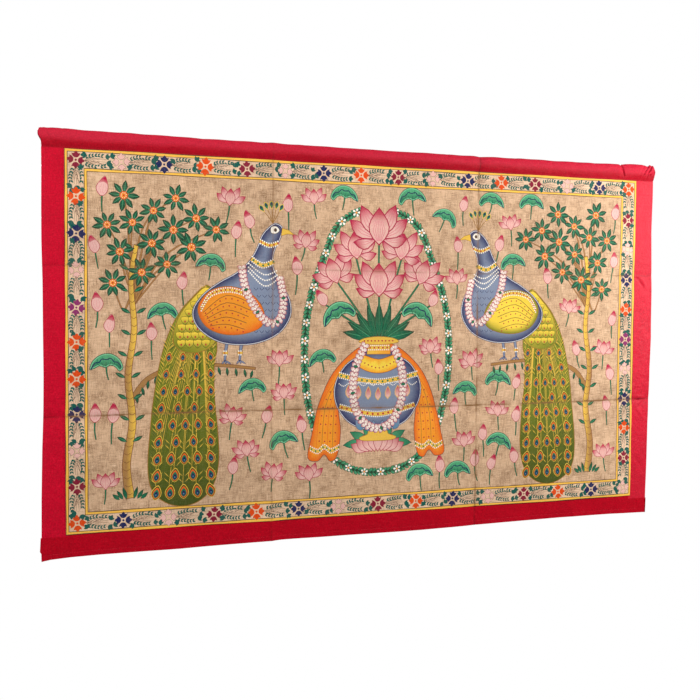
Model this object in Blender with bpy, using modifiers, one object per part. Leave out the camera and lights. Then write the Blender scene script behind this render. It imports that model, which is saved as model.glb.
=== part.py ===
"""A painted wall cloth of the pichwai kind, hanging from its rod sleeve.

Units are metres. X runs along the cloth to the right, Z is up, and the painted face looks to -Y.
The origin is the middle of the top edge. The cloth has five sewn pieces: the painted centre, a red
strip on each side, a red sleeve for a rod along the top, and a red hem band along the bottom.
"""

import math
from collections import namedtuple

import bmesh
import bpy

# the painted centre
PAINTED_LEFT = -0.861
PAINTED_RIGHT = 0.854
SEAM_TOP = -0.0448
SEAM_BOTTOM = -1.0248
EDGE_WANDER = 0.0008

# the cloth
SHEET = 0.0012
HEM = 0.0024
LAP = 0.006
PIECE_GAP = 0.0004

# the sleeve for a rod: a flattened tube, deepest below its middle
SLEEVE_REACH = 0.0095
SLEEVE_BELLY = 0.021
SLEEVE_ARC_STEPS = 10
SLEEVE_LOWER_STEPS = 3
SLEEVE_STRAIGHTNESS = 0.75
PLY_GAP = 0.0003
SLEEVE_START = 0.0005
LIP_LOW = 0.014
LIP_HIGH = 0.034
LIP_REACH = 0.045

# the grid that every piece is folded on
COARSE_STEP = 0.085
CREASE_STEPS = (0.007, 0.018, 0.040)
END_STEPS = (0.009, 0.022, 0.045)
CORNER_STEP = 0.001
BAND_ROWS = (0.0, 0.25, 0.5, 0.75, 1.0)
STRIP_COLUMNS = (0.0, 0.33, 0.67, 1.0)

# Creases left by folding in three both ways. A rise towards the viewer is positive, and it
# changes from the crease's start (top or left) to its end (bottom or right).
Crease = namedtuple("Crease", "place start_rise end_rise reach wander")
UPRIGHT_CREASES = (
    Crease(place=-0.317, start_rise=0.0030, end_rise=0.0062, reach=0.024, wander=0.0015),
    Crease(place=0.310, start_rise=-0.0048, end_rise=-0.0030, reach=0.022, wander=-0.0012),
)
LEVEL_CREASES = (
    Crease(place=-0.3385, start_rise=-0.0010, end_rise=-0.0016, reach=0.018, wander=0.0015),
    Crease(place=-0.7230, start_rise=-0.0036, end_rise=-0.0030, reach=0.022, wander=0.0025),
)

# how far each panel between the creases bulges towards the viewer, from the top row down
PANEL_BULGES = (
    (0.0030, -0.0025, 0.0035),
    (0.0035, 0.0040, -0.0030),
    (-0.0030, 0.0025, 0.0030),
)

# heights along the outline, from left to right
EdgePoint = namedtuple("EdgePoint", "x z")
TOP_EDGE = (
    EdgePoint(x=-0.924, z=0.0030),
    EdgePoint(x=-0.913, z=0.0050),
    EdgePoint(x=-0.870, z=0.0046),
    EdgePoint(x=-0.820, z=0.0028),
    EdgePoint(x=-0.600, z=0.0025),
    EdgePoint(x=-0.515, z=0.0002),
    EdgePoint(x=-0.434, z=0.0009),
    EdgePoint(x=-0.090, z=0.0000),
    EdgePoint(x=0.310, z=0.0001),
    EdgePoint(x=0.476, z=0.0014),
    EdgePoint(x=0.684, z=0.0016),
    EdgePoint(x=0.800, z=0.0039),
    EdgePoint(x=0.905, z=0.0059),
    EdgePoint(x=0.919, z=0.0035),
)
BOTTOM_EDGE = (
    EdgePoint(x=-0.924, z=-1.0899),
    EdgePoint(x=-0.899, z=-1.0859),
    EdgePoint(x=-0.850, z=-1.0831),
    EdgePoint(x=-0.775, z=-1.0818),
    EdgePoint(x=-0.566, z=-1.0829),
    EdgePoint(x=-0.458, z=-1.0818),
    EdgePoint(x=-0.346, z=-1.0812),
    EdgePoint(x=-0.289, z=-1.0794),
    EdgePoint(x=-0.110, z=-1.0809),
    EdgePoint(x=0.134, z=-1.0829),
    EdgePoint(x=0.310, z=-1.0806),
    EdgePoint(x=0.396, z=-1.0790),
    EdgePoint(x=0.600, z=-1.0774),
    EdgePoint(x=0.780, z=-1.0784),
    EdgePoint(x=0.913, z=-1.0812),
)

# the outer edges of the red pieces, going down
SidePoint = namedtuple("SidePoint", "z left right")
STRIP_SIDES = (
    SidePoint(z=-0.044, left=-0.9168, right=0.9164),
    SidePoint(z=-0.100, left=-0.9165, right=0.9168),
    SidePoint(z=-0.200, left=-0.9172, right=0.9152),
    SidePoint(z=-0.280, left=-0.9172, right=0.9168),
    SidePoint(z=-0.380, left=-0.9150, right=0.9200),
    SidePoint(z=-0.530, left=-0.9144, right=0.9216),
    SidePoint(z=-0.620, left=-0.9139, right=0.9182),
    SidePoint(z=-0.720, left=-0.9148, right=0.9186),
    SidePoint(z=-0.800, left=-0.9178, right=0.9154),
    SidePoint(z=-0.930, left=-0.9204, right=0.9138),
    SidePoint(z=-1.035, left=-0.9208, right=0.9124),
)
BAND_SIDES = (
    SidePoint(z=-1.018, left=-0.9226, right=0.9134),
    SidePoint(z=-1.030, left=-0.9230, right=0.9130),
    SidePoint(z=-1.066, left=-0.9250, right=0.9122),
    SidePoint(z=-1.068, left=-0.9216, right=0.9120),
    SidePoint(z=-1.090, left=-0.9212, right=0.9110),
)
SLEEVE_LIP_LEFT = -0.924
SLEEVE_LIP_RIGHT = 0.919
SLEEVE_NECK_LEFT = -0.9162
SLEEVE_NECK_RIGHT = 0.9160

# where the sleeve and the band meet the side strips, outside the painted centre
CornerSeam = namedtuple("CornerSeam", "left right")
SLEEVE_CORNER = CornerSeam(left=-0.0455, right=-0.0449)
BAND_CORNER = CornerSeam(left=-1.0290, right=-1.0350)

# gathers in the sleeve: a pinch is positive, a puff is negative, and the lean is X per height
Gather = namedtuple("Gather", "x pinch reach lean")
SLEEVE_GATHERS = (
    Gather(x=-0.905, pinch=0.0012, reach=0.009, lean=0.10),
    Gather(x=-0.640, pinch=0.0006, reach=0.030, lean=0.30),
    Gather(x=-0.317, pinch=-0.0008, reach=0.014, lean=0.00),
    Gather(x=0.050, pinch=0.0007, reach=0.040, lean=-0.40),
    Gather(x=0.310, pinch=0.0015, reach=0.012, lean=0.00),
    Gather(x=0.560, pinch=0.0006, reach=0.030, lean=0.30),
    Gather(x=0.803, pinch=0.0024, reach=0.009, lean=-0.22),
    Gather(x=0.850, pinch=-0.0016, reach=0.026, lean=0.00),
    Gather(x=0.901, pinch=0.0036, reach=0.007, lean=-0.35),
)

RED = (0.52, 0.004, 0.028, 1.0)
DARK_RED = (0.38, 0.002, 0.014, 1.0)
GROUND = (0.58, 0.44, 0.28, 1.0)
CLOTH_ROUGHNESS = 0.9


def blend(value, low, high):
    """Return 0 below low, 1 above high and a smooth rise between."""
    share = min(max((value - low) / (high - low), 0.0), 1.0)
    return share * share * (3.0 - 2.0 * share)


def mix(first, second, share):
    """Return the value at a share of the way from first to second."""
    return first + (second - first) * share


def along(points, key, field, value):
    """Read one field of a table of points at a value of its key field."""
    before = points[0]
    for point in points:
        if getattr(point, key) == value:
            return getattr(point, field)
        if (getattr(point, key) - value) * (getattr(before, key) - value) < 0.0:
            share = (value - getattr(before, key)) / (getattr(point, key) - getattr(before, key))
            return mix(getattr(before, field), getattr(point, field), share)
        before = point
    first_distance = abs(getattr(points[0], key) - value)
    last_distance = abs(getattr(points[-1], key) - value)
    return getattr(points[0] if first_distance < last_distance else points[-1], field)


def crease_depth(across, lengthwise, crease):
    """Return how far a crease brings the cloth towards the viewer at one point."""
    middle = crease.place + crease.wander * math.sin(7.0 * lengthwise)
    distance = abs(across - middle)
    rise = mix(crease.start_rise, crease.end_rise, min(max(lengthwise, 0.0), 1.0))
    return rise * math.exp(-distance / crease.reach)


def panel_share(value, creases, first, last):
    """Return the number of the panel that holds a value, and the share of the way through it."""
    limits = [first] + [crease.place for crease in creases] + [last]
    for number in range(len(limits) - 1):
        share = (value - limits[number]) / (limits[number + 1] - limits[number])
        if share <= 1.0:
            return number, max(share, 0.0)
    return len(limits) - 2, 1.0


def fold(x, z):
    """Return the Y of the cloth's front layer: the one folded surface that all pieces share."""
    left, right = SLEEVE_LIP_LEFT, SLEEVE_LIP_RIGHT
    top, bottom = 0.0, min(point.z for point in BOTTOM_EDGE)
    down = (z - top) / (bottom - top)
    over = (x - left) / (right - left)
    towards = sum(crease_depth(x, down, crease) for crease in UPRIGHT_CREASES)
    towards += sum(crease_depth(z, over, crease) for crease in LEVEL_CREASES)
    column, column_share = panel_share(x, UPRIGHT_CREASES, left, right)
    row, row_share = panel_share(z, LEVEL_CREASES, top, bottom)
    bulge = PANEL_BULGES[row][column]
    towards += bulge * math.sin(math.pi * column_share) * math.sin(math.pi * row_share)
    return -towards


def crease_lines(first, last, creases, extra):
    """Return grid lines from first to last: close at the creases and even elsewhere."""
    marks = {first, last}
    for crease in creases:
        marks.add(crease.place)
        for step in CREASE_STEPS:
            marks.update((crease.place - step, crease.place + step))
    marks.update(extra)
    low, high = min(first, last), max(first, last)
    marks = sorted(mark for mark in marks if low <= mark <= high)
    lines = []
    for start, end in zip(marks, marks[1:]):
        pieces = max(1, math.ceil((end - start) / COARSE_STEP))
        lines += [mix(start, end, number / pieces) for number in range(pieces)]
    lines.append(marks[-1])
    return lines if first < last else lines[::-1]


def grid_object(name, columns, rows, place, anchor, material, thickness, offset):
    """Make a grid, put each of its points where place says, and give it its thickness.

    The grid faces -Y. An offset of 1 thickens it towards the viewer, and -1 away from the viewer.
    """
    mesh = bpy.data.meshes.new(name)
    shaper = bmesh.new()
    bmesh.ops.create_grid(shaper, x_segments=len(columns) - 1, y_segments=len(rows) - 1, size=1.0)
    for vertex in shaper.verts:
        column = round((vertex.co.x + 1.0) / 2.0 * (len(columns) - 1))
        row = round((1.0 - vertex.co.y) / 2.0 * (len(rows) - 1))
        x, y, z = place(columns[column], rows[row])
        vertex.co = (x - anchor[0], y - anchor[1], z - anchor[2])
    shaper.to_mesh(mesh)
    shaper.free()
    mesh.shade_smooth()
    piece = bpy.data.objects.new(name, mesh)
    piece.location = anchor
    mesh.materials.append(material)
    wall = piece.modifiers.new("cloth thickness", "SOLIDIFY")
    wall.thickness = thickness
    wall.offset = offset
    wall.use_quality_normals = True
    return piece


def cloth_material(name, color):
    """Return a matte cloth material."""
    material = bpy.data.materials.new(name)
    material.use_nodes = True
    shader = material.node_tree.nodes["Principled BSDF"]
    shader.inputs["Base Color"].default_value = color
    shader.inputs["Roughness"].default_value = CLOTH_ROUGHNESS
    shader.inputs["Metallic"].default_value = 0.0
    return material


def lapped_edge(x, corner, inside):
    """Return the height of a red piece's edge: the corner seam, or inside it the hidden lap."""
    left_start = PAINTED_LEFT + LAP + PIECE_GAP
    right_start = PAINTED_RIGHT - LAP - PIECE_GAP
    left_share = min(max((x - left_start) / CORNER_STEP, 0.0), 1.0)
    right_share = min(max((right_start - x) / CORNER_STEP, 0.0), 1.0)
    if x < 0.0:
        return mix(corner.left, inside, left_share)
    return mix(corner.right, inside, right_share)


def make_painted_cloth():
    """The painted centre lies in front, and laps the red pieces on all four sides."""
    extra = (PAINTED_LEFT + LAP, PAINTED_RIGHT - LAP)
    columns = crease_lines(PAINTED_LEFT, PAINTED_RIGHT, UPRIGHT_CREASES, extra)
    rows = crease_lines(SEAM_TOP, SEAM_BOTTOM, LEVEL_CREASES, (SEAM_TOP - LAP, SEAM_BOTTOM + LAP))

    def place(x, z):
        if x in (PAINTED_LEFT, PAINTED_RIGHT):
            x += EDGE_WANDER * math.sin(9.0 * z)
        if z in (SEAM_TOP, SEAM_BOTTOM):
            z += EDGE_WANDER * math.sin(8.0 * x)
        return x, fold(x, z), z

    material = cloth_material("painted cotton", GROUND)
    return grid_object("painted_cloth", columns, rows, place, (0.0, 0.0, SEAM_TOP),
                       material, SHEET, 1.0)


def make_side_strip(name, inner, side, material):
    """A red strip runs from the sleeve down to the band, its inner edge under the painting."""
    top = getattr(SLEEVE_CORNER, side) - PIECE_GAP
    bottom = getattr(BAND_CORNER, side) + PIECE_GAP
    rows = crease_lines(top, bottom, LEVEL_CREASES, (SEAM_TOP - LAP, SEAM_BOTTOM + LAP))
    shares = STRIP_COLUMNS if side == "left" else tuple(1.0 - share for share in STRIP_COLUMNS)[::-1]

    def place(share, z):
        outer = along(STRIP_SIDES, "z", side, z)
        x = mix(outer, inner, share) if side == "left" else mix(inner, outer, share)
        return x, fold(x, z) + PIECE_GAP, z

    return grid_object(name, shares, rows, place, (inner, 0.0, SEAM_TOP), material, SHEET, -1.0)


def sleeve_path():
    """Return the sleeve's section, front seam to back seam, as (depth, height, roundness).

    Height counts from the seam, for a sleeve as high as it is in the middle. Roundness is 0 on
    the flat seam allowance and 1 where the sleeve stands open.
    """
    ply = (SHEET + PLY_GAP) / 2.0
    crown = -SEAM_TOP - SHEET / 2.0 - SLEEVE_BELLY
    front = [(-ply, None, 0.0), (-ply, SLEEVE_START, 0.0)]
    for number in range(1, SLEEVE_LOWER_STEPS + 1):
        share = number / (SLEEVE_LOWER_STEPS + 1)
        depth = mix(ply, SLEEVE_REACH, math.sin(share * math.pi / 2.0))
        front.append((-depth, mix(SLEEVE_START, SLEEVE_BELLY, share), share))
    arc = []
    for number in range(SLEEVE_ARC_STEPS + 1):
        angle = math.pi * (1.0 - number / SLEEVE_ARC_STEPS)
        arc.append((SLEEVE_REACH * math.cos(angle), SLEEVE_BELLY + crown * math.sin(angle), 1.0))
    back = [(-depth, height, roundness) for depth, height, roundness in front[::-1]]
    return front + arc + back


def gather_pinch(x, height):
    """Return how far the gathers draw the sleeve in at one point."""
    pinch = 0.0
    for gather in SLEEVE_GATHERS:
        offset = x - gather.x - gather.lean * (height + SEAM_TOP / 2.0)
        pinch += gather.pinch * math.exp(-((offset / gather.reach) ** 2))
    return pinch


def make_top_sleeve(material):
    """The sleeve is one sheet, up the front, over the rod's place and down the back."""
    extra = [gather.x for gather in SLEEVE_GATHERS]
    extra += [gather.x - gather.reach for gather in SLEEVE_GATHERS[-3:]]
    extra += [gather.x + gather.reach for gather in SLEEVE_GATHERS[-3:]]
    extra += [SLEEVE_LIP_LEFT + step for step in END_STEPS]
    for start, step in ((PAINTED_LEFT, 1.0), (PAINTED_RIGHT, -1.0)):
        edge = start + step * (LAP + PIECE_GAP)
        extra += [edge, edge + step * CORNER_STEP]
    columns = crease_lines(SLEEVE_LIP_LEFT, SLEEVE_LIP_RIGHT, UPRIGHT_CREASES, extra)
    path = sleeve_path()
    seam_middle = PIECE_GAP + SHEET + PLY_GAP / 2.0

    def place(x, number):
        depth, height, roundness = path[int(number)]
        if height is None:
            height = lapped_edge(x, SLEEVE_CORNER, SEAM_TOP - LAP) - SEAM_TOP
        squeeze = 1.0 - roundness * gather_pinch(x, height) / SLEEVE_REACH
        wave = fold(x, min(SEAM_TOP, SEAM_TOP + height))
        wave = mix(wave, wave * (1.0 - SLEEVE_STRAIGHTNESS), roundness)
        y = wave + seam_middle + depth * squeeze
        if height > 0.0:
            crown = max(height - SLEEVE_BELLY, 0.0)
            height += crown * (squeeze - 1.0) * SLEEVE_REACH / (-SEAM_TOP - SLEEVE_BELLY)
            height *= (along(TOP_EDGE, "x", "z", x) - SEAM_TOP) / -SEAM_TOP
        left_pull = blend(SLEEVE_LIP_LEFT + LIP_REACH - x, 0.0, LIP_REACH)
        right_pull = blend(x - SLEEVE_LIP_RIGHT + LIP_REACH, 0.0, LIP_REACH)
        neck = 1.0 - blend(height, LIP_LOW, LIP_HIGH)
        x += left_pull * neck * (SLEEVE_NECK_LEFT - SLEEVE_LIP_LEFT)
        x += right_pull * neck * (SLEEVE_NECK_RIGHT - SLEEVE_LIP_RIGHT)
        return x, y, SEAM_TOP + height

    return grid_object("top_sleeve", columns, list(range(len(path)))[::-1], place,
                       (0.0, 0.0, 0.0), material, SHEET, 0.0)


def make_bottom_band(material):
    """The band is folded double, so it is as thick as two sheets."""
    left, right = BAND_SIDES[0].left, BAND_SIDES[0].right
    extra = [left + END_STEPS[1], right - END_STEPS[1]]
    for start, step in ((PAINTED_LEFT, 1.0), (PAINTED_RIGHT, -1.0)):
        edge = start + step * (LAP + PIECE_GAP)
        extra += [edge, edge + step * CORNER_STEP]
    extra += [point.x for point in BOTTOM_EDGE[1:-1]]
    columns = crease_lines(left, right, UPRIGHT_CREASES, extra)

    def place(x, share):
        top = lapped_edge(x, BAND_CORNER, SEAM_BOTTOM + LAP)
        z = mix(top, along(BOTTOM_EDGE, "x", "z", x), share)
        if x == left:
            x = along(BAND_SIDES, "z", "left", z)
        elif x == right:
            x = along(BAND_SIDES, "z", "right", z)
        return x, fold(x, z) + PIECE_GAP, z

    return grid_object("bottom_band", columns, BAND_ROWS, place, (0.0, 0.0, SEAM_BOTTOM),
                       material, HEM, -1.0)


def main():
    """Clear the scene and build the hanging."""
    for old in list(bpy.data.objects):
        bpy.data.objects.remove(old, do_unlink=True)
    collection = bpy.data.collections.new("pichwai_painting")
    bpy.context.scene.collection.children.link(collection)
    hanging_line = bpy.data.objects.new("hanging_line", None)
    collection.objects.link(hanging_line)
    pieces = (
        make_painted_cloth(),
        make_side_strip("left_strip", PAINTED_LEFT + LAP, "left", cloth_material("left red", RED)),
        make_side_strip("right_strip", PAINTED_RIGHT - LAP, "right", cloth_material("right red", RED)),
        make_top_sleeve(cloth_material("sleeve red", RED)),
        make_bottom_band(cloth_material("band red", DARK_RED)),
    )
    for piece in pieces:
        collection.objects.link(piece)
        piece.parent = hanging_line


main()
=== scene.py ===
import math
import random

import bpy
import numpy as np
from mathutils import Matrix, Vector
from mathutils.geometry import delaunay_2d_cdt


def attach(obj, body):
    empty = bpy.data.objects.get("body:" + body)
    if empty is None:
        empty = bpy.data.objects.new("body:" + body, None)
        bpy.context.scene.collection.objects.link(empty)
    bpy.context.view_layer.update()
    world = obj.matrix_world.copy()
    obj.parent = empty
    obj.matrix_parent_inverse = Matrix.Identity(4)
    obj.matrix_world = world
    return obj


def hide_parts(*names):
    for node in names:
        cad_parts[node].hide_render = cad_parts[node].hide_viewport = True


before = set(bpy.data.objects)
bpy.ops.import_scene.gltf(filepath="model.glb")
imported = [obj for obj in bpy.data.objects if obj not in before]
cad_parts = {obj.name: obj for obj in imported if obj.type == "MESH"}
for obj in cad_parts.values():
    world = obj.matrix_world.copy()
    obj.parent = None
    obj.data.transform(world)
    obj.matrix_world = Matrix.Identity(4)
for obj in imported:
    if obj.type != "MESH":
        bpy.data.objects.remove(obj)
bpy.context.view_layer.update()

rng = random.Random(7)

# Camera and light
camera = {
    "place": (-1.1341, -2.7291, -0.4215),
    "right": (0.93399, -0.35722, 0.00792),
    "up": (0.00945, 0.04684, 0.99886),
    "lens": 53.86,
}
studio = {
    "aim": (0.1, 0.0, -0.5),
    "lamps": (              # name, place, size, power
        ("key", (-1.50, -2.33, 0.95), 0.8, 64.0),
        ("right lamp", (1.71, -0.90, 0.00), 0.5, 30.0),
        ("back lamp", (-1.70, 3.00, 0.90), 1.4, 150.0),
    ),
    "fill": 0.285,          # light from all round
    "fillFromAbove": 0.35,  # how much stronger it is from above, and weaker from below
    "floorDrop": 3.6,       # the floor lies this far below the cloth's top edge
    "floorRadius": 2.6,
}


def addObject(name, data):
    newObject = bpy.data.objects.new(name, data)
    bpy.context.scene.collection.objects.link(newObject)
    return newObject


def setCamera():
    data = bpy.data.cameras.new("camera")
    data.lens = camera["lens"]
    cameraObject = addObject("camera", data)
    right = Vector(camera["right"]).normalized()
    back = right.cross(Vector(camera["up"])).normalized()
    turn = Matrix((right, back.cross(right), back)).transposed().to_4x4()
    cameraObject.matrix_world = Matrix.Translation(camera["place"]) @ turn
    bpy.context.scene.camera = cameraObject


def setLamps():
    for name, place, size, power in studio["lamps"]:
        lamp = bpy.data.lights.new(name, "AREA")
        lamp.shape, lamp.size, lamp.energy = "DISK", size, power
        lampObject = addObject(name, lamp)
        aim = (Vector(studio["aim"]) - Vector(place)).to_track_quat("-Z", "Y")
        lampObject.matrix_world = Matrix.Translation(place) @ aim.to_matrix().to_4x4()
        lampObject.visible_camera = False


def setFill():      # soft light from all round, which the camera sees as white
    world = bpy.data.worlds.new("studio")
    bpy.context.scene.world = world
    world.use_nodes = True
    tree = world.node_tree
    background = tree.nodes["Background"]
    background.inputs["Color"].default_value = (1, 1, 1, 1)
    seen = addNode(tree, "LightPath")
    direction = addNode(tree, "TexCoord")
    height = addNode(tree, "SeparateXYZ", links={"Vector": direction.outputs["Generated"]})
    spread = studio["fill"] * studio["fillFromAbove"]
    lift = addNode(tree, "MapRange",
                   {"From Min": -1.0, "To Min": studio["fill"] - spread, "To Max": studio["fill"] + spread},
                   {"Value": height.outputs["Z"]})
    strength = addNode(tree, "MapRange", {"To Max": 1.0},
                       {"Value": seen.outputs["Is Camera Ray"], "To Min": lift.outputs[0]})
    tree.links.new(strength.outputs[0], background.inputs["Strength"])
    bpy.context.scene.view_settings.view_transform = "Standard"


def addNode(tree, kind, values=None, links=None, **settings):
    node = tree.nodes.new("ShaderNode" + kind)
    for name, value in settings.items():
        setattr(node, name, value)
    for name, value in (values or {}).items():
        node.inputs[name].default_value = value
    for name, socket in (links or {}).items():
        tree.links.new(socket, node.inputs[name])
    return node


# The folded cloth that all five pieces share, in metres
fold = {
    "lipLeft": -0.924,
    "lipRight": 0.919,
    "bottom": -1.0899,
    "upright": (        # x, rise at the top, rise at the bottom, reach, wander
        (-0.317, 0.0030, 0.0062, 0.024, 0.0015),
        (0.310, -0.0048, -0.0030, 0.022, -0.0012),
    ),
    "level": (          # z, rise at the left, rise at the right, reach, wander
        (-0.3385, -0.0010, -0.0016, 0.018, 0.0015),
        (-0.7230, -0.0036, -0.0030, 0.022, 0.0025),
    ),
    "bulges": ((0.0030, -0.0025, 0.0035), (0.0035, 0.0040, -0.0030), (-0.0030, 0.0025, 0.0030)),
    "wrinkles": (       # from x, z to x, z, rise, width
        (.856, -.343, .874, -.348, -.0026, .0030), (.880, -.344, .900, -.372, .0015, .0048),
        (.870, -.348, .889, -.376, -.0024, .0034), (.866, -.714, .902, -.716, .0016, .0044),
        (.868, -.725, .886, -.727, -.0026, .0034), (.862, -.735, .905, -.790, .0012, .0056),
        (.905, -.722, .878, -.752, -.0010, .0034), (.890, -.150, .905, -.215, .0009, .0048),
        (.884, -.500, .904, -.560, .0009, .0050), (.868, -.905, .900, -.950, -.0009, .0046),
        (-.914, -.343, -.868, -.335, -.0009, .0035), (-.905, -.352, -.880, -.410, .0006, .0060),
        (-.915, -.727, -.872, -.718, -.0008, .0040), (-.900, -.740, -.888, -.810, .0007, .0060),
        (.876, -1.036, .880, -1.062, -.0012, .0026), (.300, -1.040, .322, -1.070, .0007, .0050),
        (.640, -1.034, .655, -1.088, .0014, .0100), (.800, -1.030, .786, -1.086, -.0011, .0080),
        (-.330, -1.035, -.312, -1.072, .0009, .0050), (.318, -.070, .340, -.190, .0008, .0070),
        (.296, -.420, .262, -.520, .0007, .0080), (-.340, -.760, -.410, -.830, .0007, .0090),
    ),
    "wanderTurn": 7.0,      # a crease wanders by the sine of this many radians over its length
    "ridgeRound": 0.0012,
    "ripple": 0.0004,
}
cloth = {
    "paintedLeft": -0.861,
    "paintedRight": 0.854,
    "seamTop": -0.0448,
    "seamBottom": -1.0248,
    "edgeWander": 0.0008,
    "sheet": 0.0012,
    "hem": 0.0024,
    "lap": 0.006,
    "gap": 0.0004,
    "cornerOverlap": 0.0002,
    "plyGap": 0.0003,
}


def creaseRise(across, lengthwise, crease):
    place, startRise, endRise, reach, wander = crease
    distance = across - place - wander * np.sin(fold["wanderTurn"] * lengthwise)
    soft = np.sqrt(distance ** 2 + fold["ridgeRound"] ** 2) - fold["ridgeRound"]
    rise = startRise + (endRise - startRise) * np.clip(lengthwise, 0.0, 1.0)
    return rise * np.exp(-soft / reach)


def panelShare(value, limits):
    number = np.clip(np.searchsorted(limits, value, side="left") - 1, 0, len(limits) - 2)
    share = (value - limits[number]) / (limits[number + 1] - limits[number])
    return number, np.clip(share, 0.0, 1.0)


def foldDepth(x, z):
    x, z = np.asarray(x, float), np.asarray(z, float)
    down = z / fold["bottom"]
    over = (x - fold["lipLeft"]) / (fold["lipRight"] - fold["lipLeft"])
    rise = sum(creaseRise(x, down, crease) for crease in fold["upright"])
    rise = rise + sum(creaseRise(z, over, crease) for crease in fold["level"])
    xLimits = np.array([fold["lipLeft"]] + [crease[0] for crease in fold["upright"]] + [fold["lipRight"]])
    zLimits = -np.array([0.0] + [crease[0] for crease in fold["level"]] + [fold["bottom"]])
    column, columnShare = panelShare(x, xLimits)
    row, rowShare = panelShare(-z, zLimits)
    bulge = np.array(fold["bulges"])[row, column]
    rise = rise + bulge * np.sin(np.pi * columnShare) * np.sin(np.pi * rowShare)
    for startX, startZ, endX, endZ, height, width in fold["wrinkles"]:
        runX, runZ = endX - startX, endZ - startZ
        near = np.clip(((x - startX) * runX + (z - startZ) * runZ) / (runX ** 2 + runZ ** 2), 0.0, 1.0)
        away = (x - startX - near * runX) ** 2 + (z - startZ - near * runZ) ** 2
        rise = rise + height * np.exp(-away / width ** 2) * (0.35 + 0.65 * np.sin(np.pi * near))
    ripple = (np.sin(31.0 * x + 9.0 * z + 2.0 * np.sin(13.0 * z))
              + np.sin(23.0 * z - 11.0 * x + 1.7 * np.sin(17.0 * x)))
    return -rise - fold["ripple"] * ripple


def foldNormal(x, z):
    step = 0.0008
    slopeX = (foldDepth(x + step, z) - foldDepth(x - step, z)) / (2 * step)
    slopeZ = (foldDepth(x, z + step) - foldDepth(x, z - step)) / (2 * step)
    normal = np.stack([slopeX, -np.ones_like(slopeX), slopeZ], axis=-1)
    return normal / np.linalg.norm(normal, axis=-1, keepdims=True)
# The painting is drawn from the back to the front, in millimetres from its lower left corner.
painting = {
    "width": 1715.0,
    "height": 980.0,
    "outerLine": 6.6,       # yellow line at the edge
    "bandEnd": 47.6,        # where the flower band ends
    "fieldStart": 56.2,     # where the ground with its lotus flowers starts
    "darkLine": 1.7,
    "edgeLine": 1.0,
    "handWobble": 0.7,
    "wobbleStep": 45.0,     # the lines of the frame have a point this often
}
tones = {
    "yellow": (240, 184, 74), "ink": (72, 54, 44), "band": (229, 194, 162), "ground": (213, 175, 140),
    "maroon": (128, 16, 48), "plum": (132, 40, 96), "rose": (224, 174, 162), "navy": (10, 30, 80),
    "orange": (214, 68, 8), "teal": (0, 84, 74), "spray": (72, 46, 38), "lotusDeep": (176, 12, 62),
    "lotusPale": (223, 174, 164), "lotusLine": (164, 18, 64), "lotusVein": (212, 112, 128),
    "stem": (28, 108, 72), "stemDark": (16, 66, 52), "leaf": (16, 112, 78), "leafDark": (6, 62, 56),
    "leafPale": (74, 158, 112), "leafRim": (112, 186, 140), "slateDark": (24, 36, 84),
    "slatePale": (122, 134, 156), "halo": (214, 214, 214), "gold": (228, 182, 70),
    "goldDark": (150, 104, 38), "amber": (236, 146, 36), "saffron": (224, 96, 26),
    "lemon": (240, 204, 66), "olive": (112, 122, 30), "oliveDark": (62, 76, 22), "white": (244, 236, 222),
    "ruby": (176, 30, 48), "brown": (112, 66, 40), "bark": (160, 116, 66), "forest": (8, 58, 40),
    "sky": (72, 130, 160),
}
shapes = []                 # every brush shape, from the back to the front


def linear(tone):           # the tone's light, from its 0 to 255 values
    values = [part / 255.0 for part in tones[tone]]
    return tuple(v / 12.92 if v <= 0.04045 else ((v + 0.055) / 1.055) ** 2.4 for v in values)


def signedArea(points):
    pairs = zip(points, points[1:] + points[:1])
    return sum(a[0] * b[1] - b[0] * a[1] for a, b in pairs) / 2.0


def inset(points, width):
    side = 1.0 if signedArea(points) > 0.0 else -1.0
    result = []
    for before, here, after in zip(points[-1:] + points[:-1], points, points[1:] + points[:1]):
        first = Vector((here[0] - before[0], here[1] - before[1])).normalized()
        second = Vector((after[0] - here[0], after[1] - here[1])).normalized()
        normal = Vector((-first.y - second.y, first.x + second.x)) * side
        length = max(normal.length, 0.9)
        push = normal.normalized() * width * 2.0 / length
        result.append((here[0] + push.x, here[1] + push.y))
    return result


def smooth(points, steps=4, closed=True):   # a soft curve through all the points
    padded = [points[-1], *points, *points[:2]] if closed else [points[0], *points, points[-1]]
    result = []
    for a, b, c, d in zip(padded, padded[1:], padded[2:], padded[3:]):
        for step in range(steps):
            t = step / steps
            result.append(tuple(
                0.5 * (2 * b[k] + (c[k] - a[k]) * t + (2 * a[k] - 5 * b[k] + 4 * c[k] - d[k]) * t * t
                       + (3 * b[k] - a[k] - 3 * c[k] + d[k]) * t ** 3) for k in (0, 1)))
    if not closed:
        result.append(tuple(points[-1]))
    return result


def curve(points, steps=4):
    return smooth(points, steps, closed=False)


def mirrored(half, middle=()):      # one half of an outline, its middle points and its other half
    return [*half, *middle, *((-x, y) for x, y in half[::-1])]


def divided(points, longest):
    result = []
    for a, b in zip(points, points[1:] + points[:1]):
        pieces = max(1, math.ceil(math.dist(a, b) / longest))
        result += [(a[0] + (b[0] - a[0]) * n / pieces, a[1] + (b[1] - a[1]) * n / pieces)
                   for n in range(pieces)]
    return result


def ellipse(x, y, wide, high, steps=16, turn=0.0):
    angle = math.radians(turn)
    result = []
    for step in range(steps):
        across = wide * math.cos(math.tau * step / steps)
        up = high * math.sin(math.tau * step / steps)
        result.append((x + across * math.cos(angle) - up * math.sin(angle),
                       y + across * math.sin(angle) + up * math.cos(angle)))
    return result


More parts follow.
